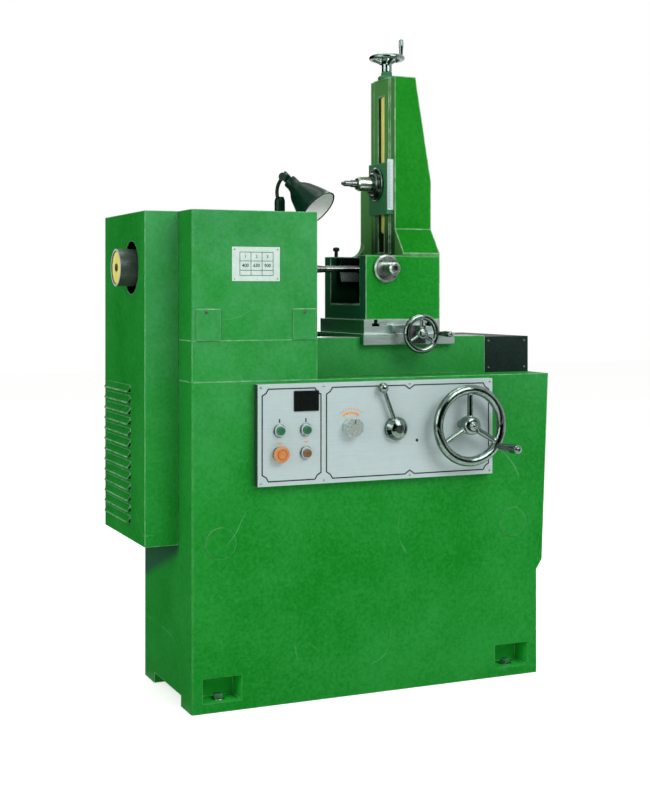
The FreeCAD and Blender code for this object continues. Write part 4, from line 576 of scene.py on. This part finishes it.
def barOutline(x, y, wide, tall):
    # from the middle, by half sizes
    return [(x - wide, y - tall), (x + wide, y - tall), (x + wide, y + tall), (x - wide, y + tall)]


def between(low, high, share):
    return low + (high - low) * share


screwCut = dict(long=0.86, half=0.13, low=0.6, high=1.04, turn=0.6, turnMore=1.1, steps=18)


def slottedScrews(name, places, axis, radius, tall, body, finish="turnedSteel"):
    # pan heads, and a dark bar in each as painted shade in place of a cut slot, each bar turned a little further
    # than the last
    heads = [turnedPart("panScrew", radius, tall, placed(place, axis), screwCut["steps"]) for place in places]
    finishPiece(name, joined(heads), finish, body)
    outline = barOutline(0, 0, radius * screwCut["long"], radius * screwCut["half"])
    slots = [prism(outline, tall * screwCut["low"], tall * screwCut["high"],
                   placed(place, axis, screwCut["turn"] + screwCut["turnMore"] * k))
             for k, place in enumerate(places)]
    finishPiece(name + "_slots", joined(slots), "darkInk", body, smooth=False)


def hexBolt(centre, axis, across, tall, turn):
    return prism(ringOutline(6, across / math.sqrt(3)), 0, tall, placed(centre, axis, turn), hexBevel)


# Square-headed jack screws on the ledges of the foot pockets
jacks = dict(xs=(-0.360, 0.451), ys=(-0.124, 0.206), ledge=0.024, half=0.0105, head=0.011, washer=0.017,
             washerThick=0.0025, turn=0.12, bevel=0.001)
washerShapes, headShapes = [], []
square = ringOutline(4, jacks["half"] * math.sqrt(2), math.pi / 4)
for x in jacks["xs"]:
    for y in jacks["ys"]:
        seat = placed((x, y, jacks["ledge"]))
        washerShapes.append(turnedPart("washer", jacks["washer"], jacks["washerThick"], seat))
        stand = placed((x, y, jacks["ledge"] + jacks["washerThick"]), turn=jacks["turn"] + x)
        headShapes.append(prism(square, 0, jacks["head"], stand, jacks["bevel"]))
finishPiece("jack_screw_washers", joined(washerShapes), "turnedSteel", "base")
finishPiece("jack_screw_heads", joined(headShapes), "darkGreenEnamel", "base")


# Control panel: frame lines with cut corners, screws, marks and the feed scale
panel = dict(face=-0.181, left=-0.278, right=0.379, bottom=0.543, top=0.792, divide=-0.103, margin=0.010,
             divideMargin=0.006, cut=0.017, scoop=0.01054, line=0.0030, raised=0.0005, peak=0.013,
             peakRise=0.0091, screw=0.0032, screwTall=0.0016, screwIn=0.008)


def frameLine(left, right, bottom, top, peaked):
    # a thin raised line round a field, scooped in at the corners, with a small peak half way along if asked
    cut, scoop = panel["cut"], panel["scoop"]
    mid, peak, rise = (left + right) / 2, panel["peak"], panel["peakRise"]
    low = [(mid - peak, bottom), (mid, bottom + rise), (mid + peak, bottom)] if peaked else []
    high = [(mid + peak, top), (mid, top - rise), (mid - peak, top)] if peaked else []
    outline = [(left + cut, bottom), *low,
               (right - cut, bottom), (right - scoop, bottom + scoop), (right, bottom + cut),
               (right, top - cut), (right - scoop, top - scoop), (right - cut, top), *high,
               (left + cut, top), (left + scoop, top - scoop), (left, top - cut),
               (left, bottom + cut), (left + scoop, bottom + scoop)]
    bm = bmesh.new()
    face = bm.faces.new([bm.verts.new((x, z, 0)) for x, z in outline])
    bm.normal_update()
    bmesh.ops.inset_region(bm, faces=[face], thickness=panel["line"], use_even_offset=True, use_boundary=True)
    bmesh.ops.delete(bm, geom=[face], context="FACES_ONLY")
    raiseFaces(bm, panel["raised"])
    bmesh.ops.transform(bm, matrix=placed((0, panel["face"], 0), front), verts=bm.verts)
    return bm


fields = ((panel["left"] + panel["margin"], panel["divide"] - panel["divideMargin"], False),
          (panel["divide"] + panel["divideMargin"], panel["right"] - panel["margin"], True))
lines = [frameLine(start, end, panel["bottom"] + panel["margin"], panel["top"] - panel["margin"], peaked)
         for start, end, peaked in fields]
finishPiece("panel_frame_lines", joined(lines), "darkInk", "base", smooth=False)
screwXs = (panel["left"] + panel["screwIn"], panel["divide"], (fields[1][0] + fields[1][1]) / 2,
           panel["right"] - panel["screwIn"])
screwZs = (panel["bottom"] + panel["screwIn"], panel["top"] - panel["screwIn"])
slottedScrews("panel_screws", [(x, panel["face"], z) for x in screwXs for z in screwZs], front, panel["screw"],
              panel["screwTall"], "base")


def dash(x, z, wide, tall, y=panel["face"], raised=panel["raised"]):
    # a flat bar on a front face
    return prism(barOutline(x, z, wide, tall), 0, raised, placed((0, y, 0), front))


# Marks above the buttons, chrome rings round them and the pressed-in rings of their caps
buttons = {
    "start": dict(spot=(-0.221, 0.678), ring=0.0142, cap=0.010, out=0.0164, finish="greenButton"),
    "run": dict(spot=(-0.151, 0.678), ring=0.0142, cap=0.010, out=0.0164, finish="greenButton"),
    "inch": dict(spot=(-0.151, 0.621), ring=0.0142, cap=0.010, out=0.0164, finish="brownButton"),
    "stop": dict(spot=(-0.221, 0.621), ring=0.0163, cap=0.020, out=0.0204, finish="orangeDeep"),
}
marks = {
    "button_marks": dict(over=("start", "run"), above=0.024, wide=0.0016, tall=0.0048, finish="darkInk"),
    "button_marks_lower": dict(over=("stop", "inch"), above=0.0275, wide=0.006, tall=0.0012, finish="orangeInk"),
}
for name, mark in marks.items():
    spots = [buttons[button]["spot"] for button in mark["over"]]
    bars = [dash(x, z + mark["above"], mark["wide"], mark["tall"]) for x, z in spots]
    finishPiece(name, joined(bars), mark["finish"], "base", smooth=False)

rings = dict(crownShare=0.66, steps=36,
             section=((0, 0), (0.0028, 0), (0.0024, 0.0016), (0.0006, 0.0024), (0, 0.002)),
             crown=((0, -0.0006), (-0.0004, 0.0007), (-0.0016, 0.0009), (-0.0026, 0.0005), (-0.0026, -0.0006)))
ringShapes = []
for name, button in buttons.items():
    stand = placed((button["spot"][0], panel["face"], button["spot"][1]), front)
    ringShapes.append(ringShape(rings["section"], button["ring"], 0, stand, rings["steps"]))
    crown = ringShape(rings["crown"], button["cap"] * rings["crownShare"], button["out"], stand, rings["steps"])
    finishPiece(name + "_button_crown", crown, button["finish"], name)
finishPiece("button_rings", joined(ringShapes), "brightChrome", "base")

feedScale = dict(centre=(-0.028, 0.680), radius=0.036, wide=0.0045, first=math.radians(52), last=math.radians(128),
                 steps=28, ticks=9, tickOut=0.0435, tickLong=0.0025, tickHalf=0.0007)


def arcBand(scale):
    # a flat curved band, swept round from one short edge
    bm = bmesh.new()
    inner, outer = [bm.verts.new((scale["radius"] + side * scale["wide"] / 2, 0, 0)) for side in (-1, 1)]
    edge = bm.edges.new((inner, outer))
    bmesh.ops.rotate(bm, verts=bm.verts, cent=(0, 0, 0), matrix=Matrix.Rotation(scale["first"], 3, "Z"))
    bmesh.ops.spin(bm, geom=[inner, outer, edge], axis=upward, cent=(0, 0, 0),
                   angle=scale["last"] - scale["first"], steps=scale["steps"])
    raiseFaces(bm, panel["raised"])
    return bm


feedShapes = [arcBand(feedScale)]
tick = barOutline(feedScale["tickOut"] + feedScale["tickLong"], 0, feedScale["tickLong"], feedScale["tickHalf"])
for k in range(feedScale["ticks"]):
    angle = between(feedScale["first"], feedScale["last"], k / (feedScale["ticks"] - 1))
    feedShapes.append(prism(tick, 0, panel["raised"], Matrix.Rotation(angle, 4, "Z")))
feedMarks = joined(feedShapes)
feedX, feedZ = feedScale["centre"]
bmesh.ops.transform(feedMarks, matrix=placed((feedX, panel["face"], feedZ), front), verts=feedMarks.verts)
finishPiece("feed_scale", feedMarks, "orangeInk", "base", smooth=False)
knobTick = dict(up=0.014, wide=0.0012, tall=0.005, face=-0.206, raised=0.0004)
knobBar = dash(feedX, feedZ + knobTick["up"], knobTick["wide"], knobTick["tall"], knobTick["face"],
               knobTick["raised"])
finishPiece("feed_knob_tick", knobBar, "darkInk", "knob", smooth=False)
print("panel dressed")


# Speed plate: a plain table of lines and numbers
plate = dict(left=-0.336, right=-0.211, bottom=1.044, top=1.128, face=-0.1585, rivet=0.0022, rivetTall=0.0011,
             rivetIn=0.006)
speeds = dict(left=-0.316, right=-0.229, low=1.058, high=1.115, rows=(0.0, 0.22, 0.62, 1.0), line=0.0006,
              raised=0.0003, thick=0.00015, bold=0.0002,
              numbers=((("400", "630", "900"), 0.0115, 0.42), (("1", "2", "3"), 0.0095, 0.81)))
halfWide, halfTall = (speeds["right"] - speeds["left"]) / 2, (speeds["high"] - speeds["low"]) / 2
middle = (speeds["left"] + halfWide, speeds["low"] + halfTall)
rules = []
for k in range(4):
    x = between(speeds["left"], speeds["right"], k / 3)
    rules.append(dash(x, middle[1], speeds["line"], halfTall, plate["face"], speeds["raised"]))
for share in speeds["rows"]:
    z = between(speeds["low"], speeds["high"], share)
    rules.append(dash(middle[0], z, halfWide, speeds["line"], plate["face"], speeds["raised"]))
finishPiece("speed_table_lines", joined(rules), "darkInk", "base", smooth=False)


def numberShape(text, size, matrix):
    curve = bpy.data.curves.new("number", "FONT")
    curve.body = text
    curve.size = size
    curve.extrude = speeds["thick"]
    curve.offset = speeds["bold"]
    curve.align_x = "CENTER"
    curve.align_y = "CENTER"
    holder = newObject("number", curve)
    bpy.context.view_layer.update()
    mesh = bpy.data.meshes.new_from_object(holder.evaluated_get(bpy.context.evaluated_depsgraph_get()))
    bm = bmesh.new()
    bm.from_mesh(mesh)
    bmesh.ops.remove_doubles(bm, verts=bm.verts, dist=1e-6)
    bmesh.ops.dissolve_degenerate(bm, dist=1e-6, edges=bm.edges)
    bmesh.ops.recalc_face_normals(bm, faces=bm.faces)
    bmesh.ops.transform(bm, matrix=matrix, verts=bm.verts)
    bpy.data.objects.remove(holder)
    bpy.data.curves.remove(curve)
    bpy.data.meshes.remove(mesh)
    return bm


numberShapes = []
for k in range(3):
    x = between(speeds["left"], speeds["right"], (k + 0.5) / 3)
    for texts, size, share in speeds["numbers"]:
        z = between(speeds["low"], speeds["high"], share)
        numberShapes.append(numberShape(texts[k], size, placed((x, plate["face"], z), front)))
finishPiece("speed_table_numbers", joined(numberShapes), "darkInk", "base", smooth=False)
rivets = [turnedPart("panScrew", plate["rivet"], plate["rivetTall"], placed((x, plate["face"], z), front),
                     screwCut["steps"])
          for x in (plate["left"] + plate["rivetIn"], plate["right"] - plate["rivetIn"])
          for z in (plate["bottom"] + plate["rivetIn"], plate["top"] - plate["rivetIn"])]
finishPiece("speed_plate_rivets", joined(rivets), "turnedSteel", "base")
print("speed plate dressed")


# Lamp: a white liner, a smooth bell over the shade, and the bulb, all by (radius, distance from the pivot)
lamp = dict(pivot=(-0.115, 0.041, 1.319), heading=(11, -14, 0), tilt=math.radians(42),
            liner=((0.0161, 0.0487), (0.02646, 0.05854), (0.03534, 0.0774), (0.04459, 0.102), (0.05236, 0.12906)),
            linerThick=0.0006, linerSteps=48, bellThick=0.0010, bellLift=0.0002, bellSteps=56,
            bell=((0.0182, 0.030), (0.0190, 0.036), (0.0212, 0.042), (0.0254, 0.0485), (0.0306, 0.0560),
                  (0.0350, 0.0645), (0.0388, 0.0755), (0.0434, 0.0875), (0.0478, 0.1005), (0.0520, 0.1145),
                  (0.0557, 0.1280)),
            lip=((0.0566, 0.1290), (0.0567, 0.1302), (0.0556, 0.1310), (0.0545, 0.1302), (0.0545, 0.1285)),
            bulb=((0, 0.0505), (0.011, 0.0505), (0.011, 0.0625), (0.01785, 0.0745), (0.021, 0.0845),
                  (0.01806, 0.0945), (0.00945, 0.1015), (0, 0.1025)))
lampAxis = (Vector(lamp["heading"]).normalized() * math.cos(lamp["tilt"])
            - Vector(upward) * math.sin(lamp["tilt"]))
lampStand = placed(lamp["pivot"], lampAxis)
linerIn = tuple((radius - lamp["linerThick"], along) for radius, along in lamp["liner"][::-1])
liner = ringShape(lamp["liner"] + linerIn, 0, 0, lampStand, lamp["linerSteps"])
finishPiece("lamp_liner", liner, "whiteEnamel", "lamp_head")
bellIn = tuple((radius - lamp["bellThick"], along + lamp["bellLift"]) for radius, along in lamp["bell"][-2::-1])
bell = ringShape(lamp["bell"] + lamp["lip"] + bellIn, 0, 0, lampStand, lamp["bellSteps"])
finishPiece("lamp_bell", bell, "lampEnamel", "lamp_head")
finishPiece("lamp_bulb", spun(lamp["bulb"], lampStand), "whiteEnamel", "lamp_head")
print("lamp dressed")


# Hand disc on the spindle's tail: a yellow face in the dark rim, and its nut
disc = dict(centre=(-0.565, 0.066, 1.079), nut=0.019, nutIn=0.0035, nutTall=0.0030, nutTurn=0.2, steps=48,
            face=((0, -0.0035), (0.012, -0.0035), (0.0144, -0.0045), (0.03818, -0.0045), (0.0415, -0.0030),
                  (0.0415, -0.0058), (0, -0.0058)))
discStand = placed(disc["centre"], leftward)
finishPiece("hand_disc_face", spun(disc["face"], discStand, disc["steps"]), "yellowScrew", "spindle_set")
discNut = hexBolt(discStand @ Vector((0, 0, -disc["nutIn"])), leftward, disc["nut"], disc["nutTall"],
                  disc["nutTurn"])
finishPiece("hand_disc_nut", discNut, "castIron", "spindle_set")


# Nut and washer that hold the motor pulley on its shaft
pulleyNut = dict(washer=0.015, washerThick=0.002, across=0.021, tall=0.007, turn=0.25)
pulleyLow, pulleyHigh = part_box("motor_pulley")
pulleyEnd = (pulleyLow[0], (pulleyLow[1] + pulleyHigh[1]) / 2, (pulleyLow[2] + pulleyHigh[2]) / 2)
pulleyStand = placed(pulleyEnd, leftward)
washer = turnedPart("plainWasher", pulleyNut["washer"], pulleyNut["washerThick"], pulleyStand)
nut = hexBolt(pulleyStand @ Vector((0, 0, pulleyNut["washerThick"])), leftward, pulleyNut["across"],
              pulleyNut["tall"], pulleyNut["turn"])
finishPiece("motor_pulley_nut", joined([washer, nut]), "turnedSteel", "motor_rotor")


# Handwheels: thick turned rim, tapered spokes that dish back to the hub, and a domed nut on the shaft's end
wheels = {
    "table": dict(centre=(0.289, -0.222, 0.675), axis=front, body="table_wheel", ring=0.0924, rim=0.0127,
                  hub=0.0235, back=-0.019, out=0.019, spoke=0.0085, tip=0.0065, dish=0.0, nut=0.012),
    "cross": dict(centre=(0.205, -0.115, 0.909), axis=front, body="cross_wheel", ring=0.0443, rim=0.0082,
                  hub=0.0145, back=-0.0119, out=0.012, spoke=0.0055, tip=0.0045, dish=0.0, nut=0.008),
    "column": dict(centre=(0.192, 0.066, 1.655), axis=upward, body="column_wheel", ring=0.0428, rim=0.0072,
                   hub=0.0145, back=-0.0389, out=0.008, spoke=0.0055, tip=0.0045, dish=0.017, nut=0.009),
}
wheelMake = dict(rimSides=20, rimSteps=72, hubSteps=40, chamfer=0.1, spokes=3, firstSpoke=math.radians(90),
                 spokeSides=20, spokeStart=0.5)
hubNose = ((1, 0.34), (0.93, 0.16), (0.78, 0.05), (0.6, 0), (0, 0))  # across and back, as shares of the hub


def wheelSpoke(wheel, angle):
    # a tapered round bar from inside the hub to inside the rim
    start = Vector((wheel["hub"] * wheelMake["spokeStart"], 0, -wheel["dish"]))
    end = Vector((wheel["ring"], 0, 0))
    bm = bmesh.new()
    bmesh.ops.create_cone(bm, cap_ends=True, segments=wheelMake["spokeSides"], radius1=wheel["spoke"],
                          radius2=wheel["tip"], depth=(end - start).length)
    lay = placed((start + end) / 2, end - start)
    bmesh.ops.transform(bm, matrix=Matrix.Rotation(angle, 4, "Z") @ lay, verts=bm.verts)
    return bm


for name, wheel in wheels.items():
    stand = placed(wheel["centre"], wheel["axis"])
    hub, back, out = wheel["hub"], wheel["back"], wheel["out"]
    chamfer = hub * wheelMake["chamfer"]
    hubProfile = [(0, back), (hub - chamfer, back), (hub, back + chamfer)]
    hubProfile += [(hub * across, out - hub * drop) for across, drop in hubNose]
    section = ringOutline(wheelMake["rimSides"], wheel["rim"])
    shapes = [ringShape(section, wheel["ring"], 0, Matrix.Identity(4), wheelMake["rimSteps"]),
              spun(hubProfile, Matrix.Identity(4), wheelMake["hubSteps"])]
    shapes += [wheelSpoke(wheel, wheelMake["firstSpoke"] + math.tau * k / wheelMake["spokes"])
               for k in range(wheelMake["spokes"])]
    whole = joined(shapes)
    bmesh.ops.transform(whole, matrix=stand, verts=whole.verts)
    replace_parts(finishPiece(name + "_wheel", whole, "brightChrome", wheel["body"]), name + "_handwheel")
    tip = placed(stand @ Vector((0, 0, out)), wheel["axis"])
    finishPiece(name + "_wheel_nut", turnedPart("domeNut", wheel["nut"], wheel["nut"], tip), "brightChrome",
                wheel["body"])


# Painted shade: a dark hex at the bottom of the clamp screw's socket
socketShade = dict(centre=(0.130, -0.1035, 1.079), radius=0.0075, tall=0.004)
socketShape = prism(ringOutline(6, socketShade["radius"]), 0, socketShade["tall"],
                    placed(socketShade["centre"], front))
finishPiece("clamp_socket_shade", socketShape, "darkInk", "jaw_screw", smooth=False)


# Scale strip on the pin carriage
scale = dict(left=0.1645, low=1.244, high=1.368, face=0.001, step=0.002, long=0.0052, short=0.0030, thin=0.00022,
             raised=0.0002)
ticks = []
for k in range(int((scale["high"] - scale["low"]) / scale["step"]) + 1):
    reach = scale["long"] if k % 5 == 0 else scale["short"]
    ticks.append(dash(scale["left"] + reach, scale["low"] + k * scale["step"], reach, scale["thin"], scale["face"],
                      scale["raised"]))
finishPiece("carriage_scale_ticks", joined(ticks), "darkInk", "pin_carriage", smooth=False)


# Screws that hold the sheet covers and the hinges
hingeLows = (0.851, 1.151)  # middles of the two fixed leaves
knuckle = 0.0224  # the swung leaves sit this much higher
rearXs = (-0.387, -0.17, 0.045, 0.26, 0.478)
coverScrews = {
    "head_cover_screws": dict(spots=[(-0.4025, -0.161, 0.968), (-0.1455, -0.161, 0.968)], axis=front,
                              radius=0.0042, tall=0.0026, body="base", finish="castIron"),
    "rear_cover_screws": dict(spots=[(x, 0.242, z) for x in rearXs for z in (0.121, 0.749)]
                              + [(x, 0.242, z) for x in (rearXs[0], rearXs[-1]) for z in (0.33, 0.54)],
                              axis=rear, radius=0.005, tall=0.003, body="base", finish="turnedSteel"),
    "hinge_screws": dict(spots=[(x, 0.323, z) for x in (-0.431, -0.415) for z in hingeLows], axis=rear,
                         radius=0.0032, tall=0.0016, body="base", finish="turnedSteel"),
    "guard_hinge_screws": dict(spots=[(x, 0.323, z + knuckle) for x in (-0.470, -0.455) for z in hingeLows],
                               axis=rear, radius=0.0032, tall=0.0016, body="guard", finish="turnedSteel"),
    "end_guard_screws": dict(spots=[(x, -0.055, z) for x in (0.441, 0.554) for z in (0.812, 0.885)], axis=front,
                             radius=0.0036, tall=0.002, body="base", finish="castIron"),
}
for name, screws in coverScrews.items():
    slottedScrews(name, screws["spots"], screws["axis"], screws["radius"], screws["tall"], screws["body"],
                  screws["finish"])


# Socket head screws on the flanges
flanges = {
    "sleeve": dict(centre=(0.1549, 0.066, 1.310), axis=leftward, circle=0.038, count=6, radius=0.0042, tall=0.0042,
                   body="pin_carriage"),
    "clamp_nut": dict(centre=(0.130, -0.067, 1.079), axis=front, circle=0.0285, count=4, radius=0.0038, tall=0.0038,
                      body="cross"),
}
for name, flange in flanges.items():
    heads = []
    for x, y in ringOutline(flange["count"], flange["circle"], math.pi / flange["count"]):
        spot = placed(flange["centre"], flange["axis"]) @ Vector((x, y, 0))
        seat = placed(spot, flange["axis"])
        heads.append(turnedPart("capScrew", flange["radius"], flange["tall"], seat, screwCut["steps"]))
    finishPiece(name + "_screws", joined(heads), "castIron", flange["body"])


# Column screw with its thread cut
screw = dict(place=(0.192, 0.066, 0), journal=0.007, foot=1.1153, low=1.178, high=1.5487, core=0.0124, crest=0.015,
             head=0.009, top=1.663, pitch=0.005, root=0.0003, rodSteps=28, turnSteps=20)
rod = spun([(0, screw["foot"]), (screw["journal"], screw["foot"]), (screw["journal"], screw["low"]),
            (screw["core"], screw["low"]), (screw["core"], screw["high"]), (screw["head"], screw["high"]),
            (screw["head"], screw["top"]), (0, screw["top"])], placed(screw["place"]), screw["rodSteps"])


def threadRidge(cut):
    # one tooth swept up the screw, a full turn for each pitch, with its root just inside the core
    bm = bmesh.new()
    deep = cut["core"] - cut["root"]
    tooth = [(deep, 0.1), (cut["crest"], 0.3), (cut["crest"], 0.7), (deep, 0.9)]
    loop = [bm.verts.new((radius, 0, cut["low"] + cut["pitch"] * share)) for radius, share in tooth]
    start = bm.faces.new(loop)
    turns = (cut["high"] - cut["low"]) / cut["pitch"] - 1
    steps = int(turns * cut["turnSteps"])
    bmesh.ops.spin(bm, geom=[start, *start.edges, *loop], axis=upward, cent=(0, 0, 0), angle=math.tau * turns,
                   dvec=(0, 0, cut["pitch"] * turns / steps), steps=steps)
    bmesh.ops.recalc_face_normals(bm, faces=bm.faces)
    bmesh.ops.translate(bm, vec=cut["place"], verts=bm.verts)
    return bm


threaded = finishPiece("column_screw_thread", joined([rod, threadRidge(screw)]), "yellowScrew", "column_wheel")
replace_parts(threaded, "column_screw")
print("small parts fitted")


# Camera, light and floor
view = dict(lens=63.26, sensor=36.0, shiftY=-0.130, place=(-1.486, -3.344, 1.015), turn=math.radians(-23.67))
cameraData = bpy.data.cameras.new("photoCamera")
cameraData.lens = view["lens"]
cameraData.sensor_width = view["sensor"]
cameraData.shift_y = view["shiftY"]
camera = newObject("photoCamera", cameraData)
camera.location = view["place"]
camera.rotation_euler = (math.radians(90), 0, view["turn"])
bpy.context.scene.camera = camera

lights = {
    "keyLight": dict(place=(1.2, -3.6, 3.2), size=2.4, power=120),
    "fillLight": dict(place=(-3.6, -1.6, 2.0), size=2.4, power=62),
    "topLight": dict(place=(0.2, 0.4, 4.4), size=2.2, power=45),
    "backLight": dict(place=(0.6, 3.6, 2.6), size=2.2, power=50),
}
lightAim = Vector((0, 0, 0.8))  # the middle of the machine
for name, light in lights.items():
    lightData = bpy.data.lights.new(name, "AREA")
    lightData.size = light["size"]
    lightData.energy = light["power"]
    lightPiece = newObject(name, lightData)
    lightPiece.location = light["place"]
    lightPiece.rotation_euler = (lightAim - Vector(light["place"])).to_track_quat("-Z", "Y").to_euler()


def seenRays(tree):
    # rays of the camera, of reflections and of glass, which all see the white background
    rays = addNode(tree, "LightPath").outputs
    shown = maths(tree, "MAXIMUM", rays["Is Camera Ray"], rays["Is Glossy Ray"])
    return maths(tree, "MAXIMUM", shown, rays["Is Transmission Ray"])


studio = dict(colour=rgba(1, 1, 1), soft=0.45, white=1.0)
world = bpy.data.worlds.new("studio")
bpy.context.scene.world = world
world.use_nodes = True
sky = world.node_tree
softBack = sky.nodes["Background"]
feed(sky, softBack.inputs, {"Color": studio["colour"], "Strength": studio["soft"]})
whiteBack = addNode(sky, "Background", {"Color": studio["colour"], "Strength": studio["white"]})
blend = addNode(sky, "MixShader", {0: seenRays(sky), 1: softBack.outputs[0], 2: whiteBack.outputs[0]})
feed(sky, sky.nodes["World Output"].inputs, {"Surface": blend.outputs[0]})


def gridShape(wide, tall, matrix, segments=1):
    bm = bmesh.new()
    bmesh.ops.create_grid(bm, x_segments=segments, y_segments=segments, size=1.0)
    bmesh.ops.scale(bm, vec=(wide, tall, 1), verts=bm.verts)
    bmesh.ops.transform(bm, matrix=matrix, verts=bm.verts)
    return bm


# pale floor that glows just enough to be white, and keeps the shadow
floor = dict(size=14.0, segments=2, colour=rgba(0.86, 0.86, 0.85), rough=0.9, glow=0.59)
floorMaterial, floorTree, floorShader = startMaterial(
    "paleFloor", {"Base Color": floor["colour"], "Roughness": floor["rough"], "Specular IOR Level": 0.0})
glow = product(floorTree, seenRays(floorTree), floor["glow"])
feed(floorTree, floorShader, {"Emission Color": studio["colour"], "Emission Strength": glow})
floorShape = gridShape(floor["size"], floor["size"], Matrix.Identity(4), floor["segments"])
meshObject("floor", floorShape, floorMaterial)

# dark cards that only shiny metal sees, as a studio's unlit side
cards = {
    "frontCard": dict(place=(-0.8, -5.2, 1.7), aim=(0, 0, 1), wide=7.5, tall=2.6),
    "sideCard": dict(place=(-3.6, 4.6, 2.0), aim=(0, 0, 1), wide=4.2, tall=3.4),
    "frontFloorCard": dict(place=(0.4, -3.3, 0.004), aim=(0.4, -3.3, 1), wide=3.2, tall=1.7),
    "sideFloorCard": dict(place=(-2.6, 2.6, 0.004), aim=(-2.6, 2.6, 1), wide=2.15, tall=3.1),
}
cardMaterial = startMaterial("darkCard", {"Base Color": rgba(0.01, 0.014, 0.012), "Roughness": 1.0,
                                          "Specular IOR Level": 0.0})[0]
for name, card in cards.items():
    stand = placed(card["place"], Vector(card["aim"]) - Vector(card["place"]))
    piece = meshObject(name, gridShape(card["wide"], card["tall"], stand), cardMaterial)
    piece.visible_camera = False
    piece.visible_diffuse = False
    piece.visible_shadow = False
bpy.context.scene.view_settings.view_transform = "Standard"
print("stage set")
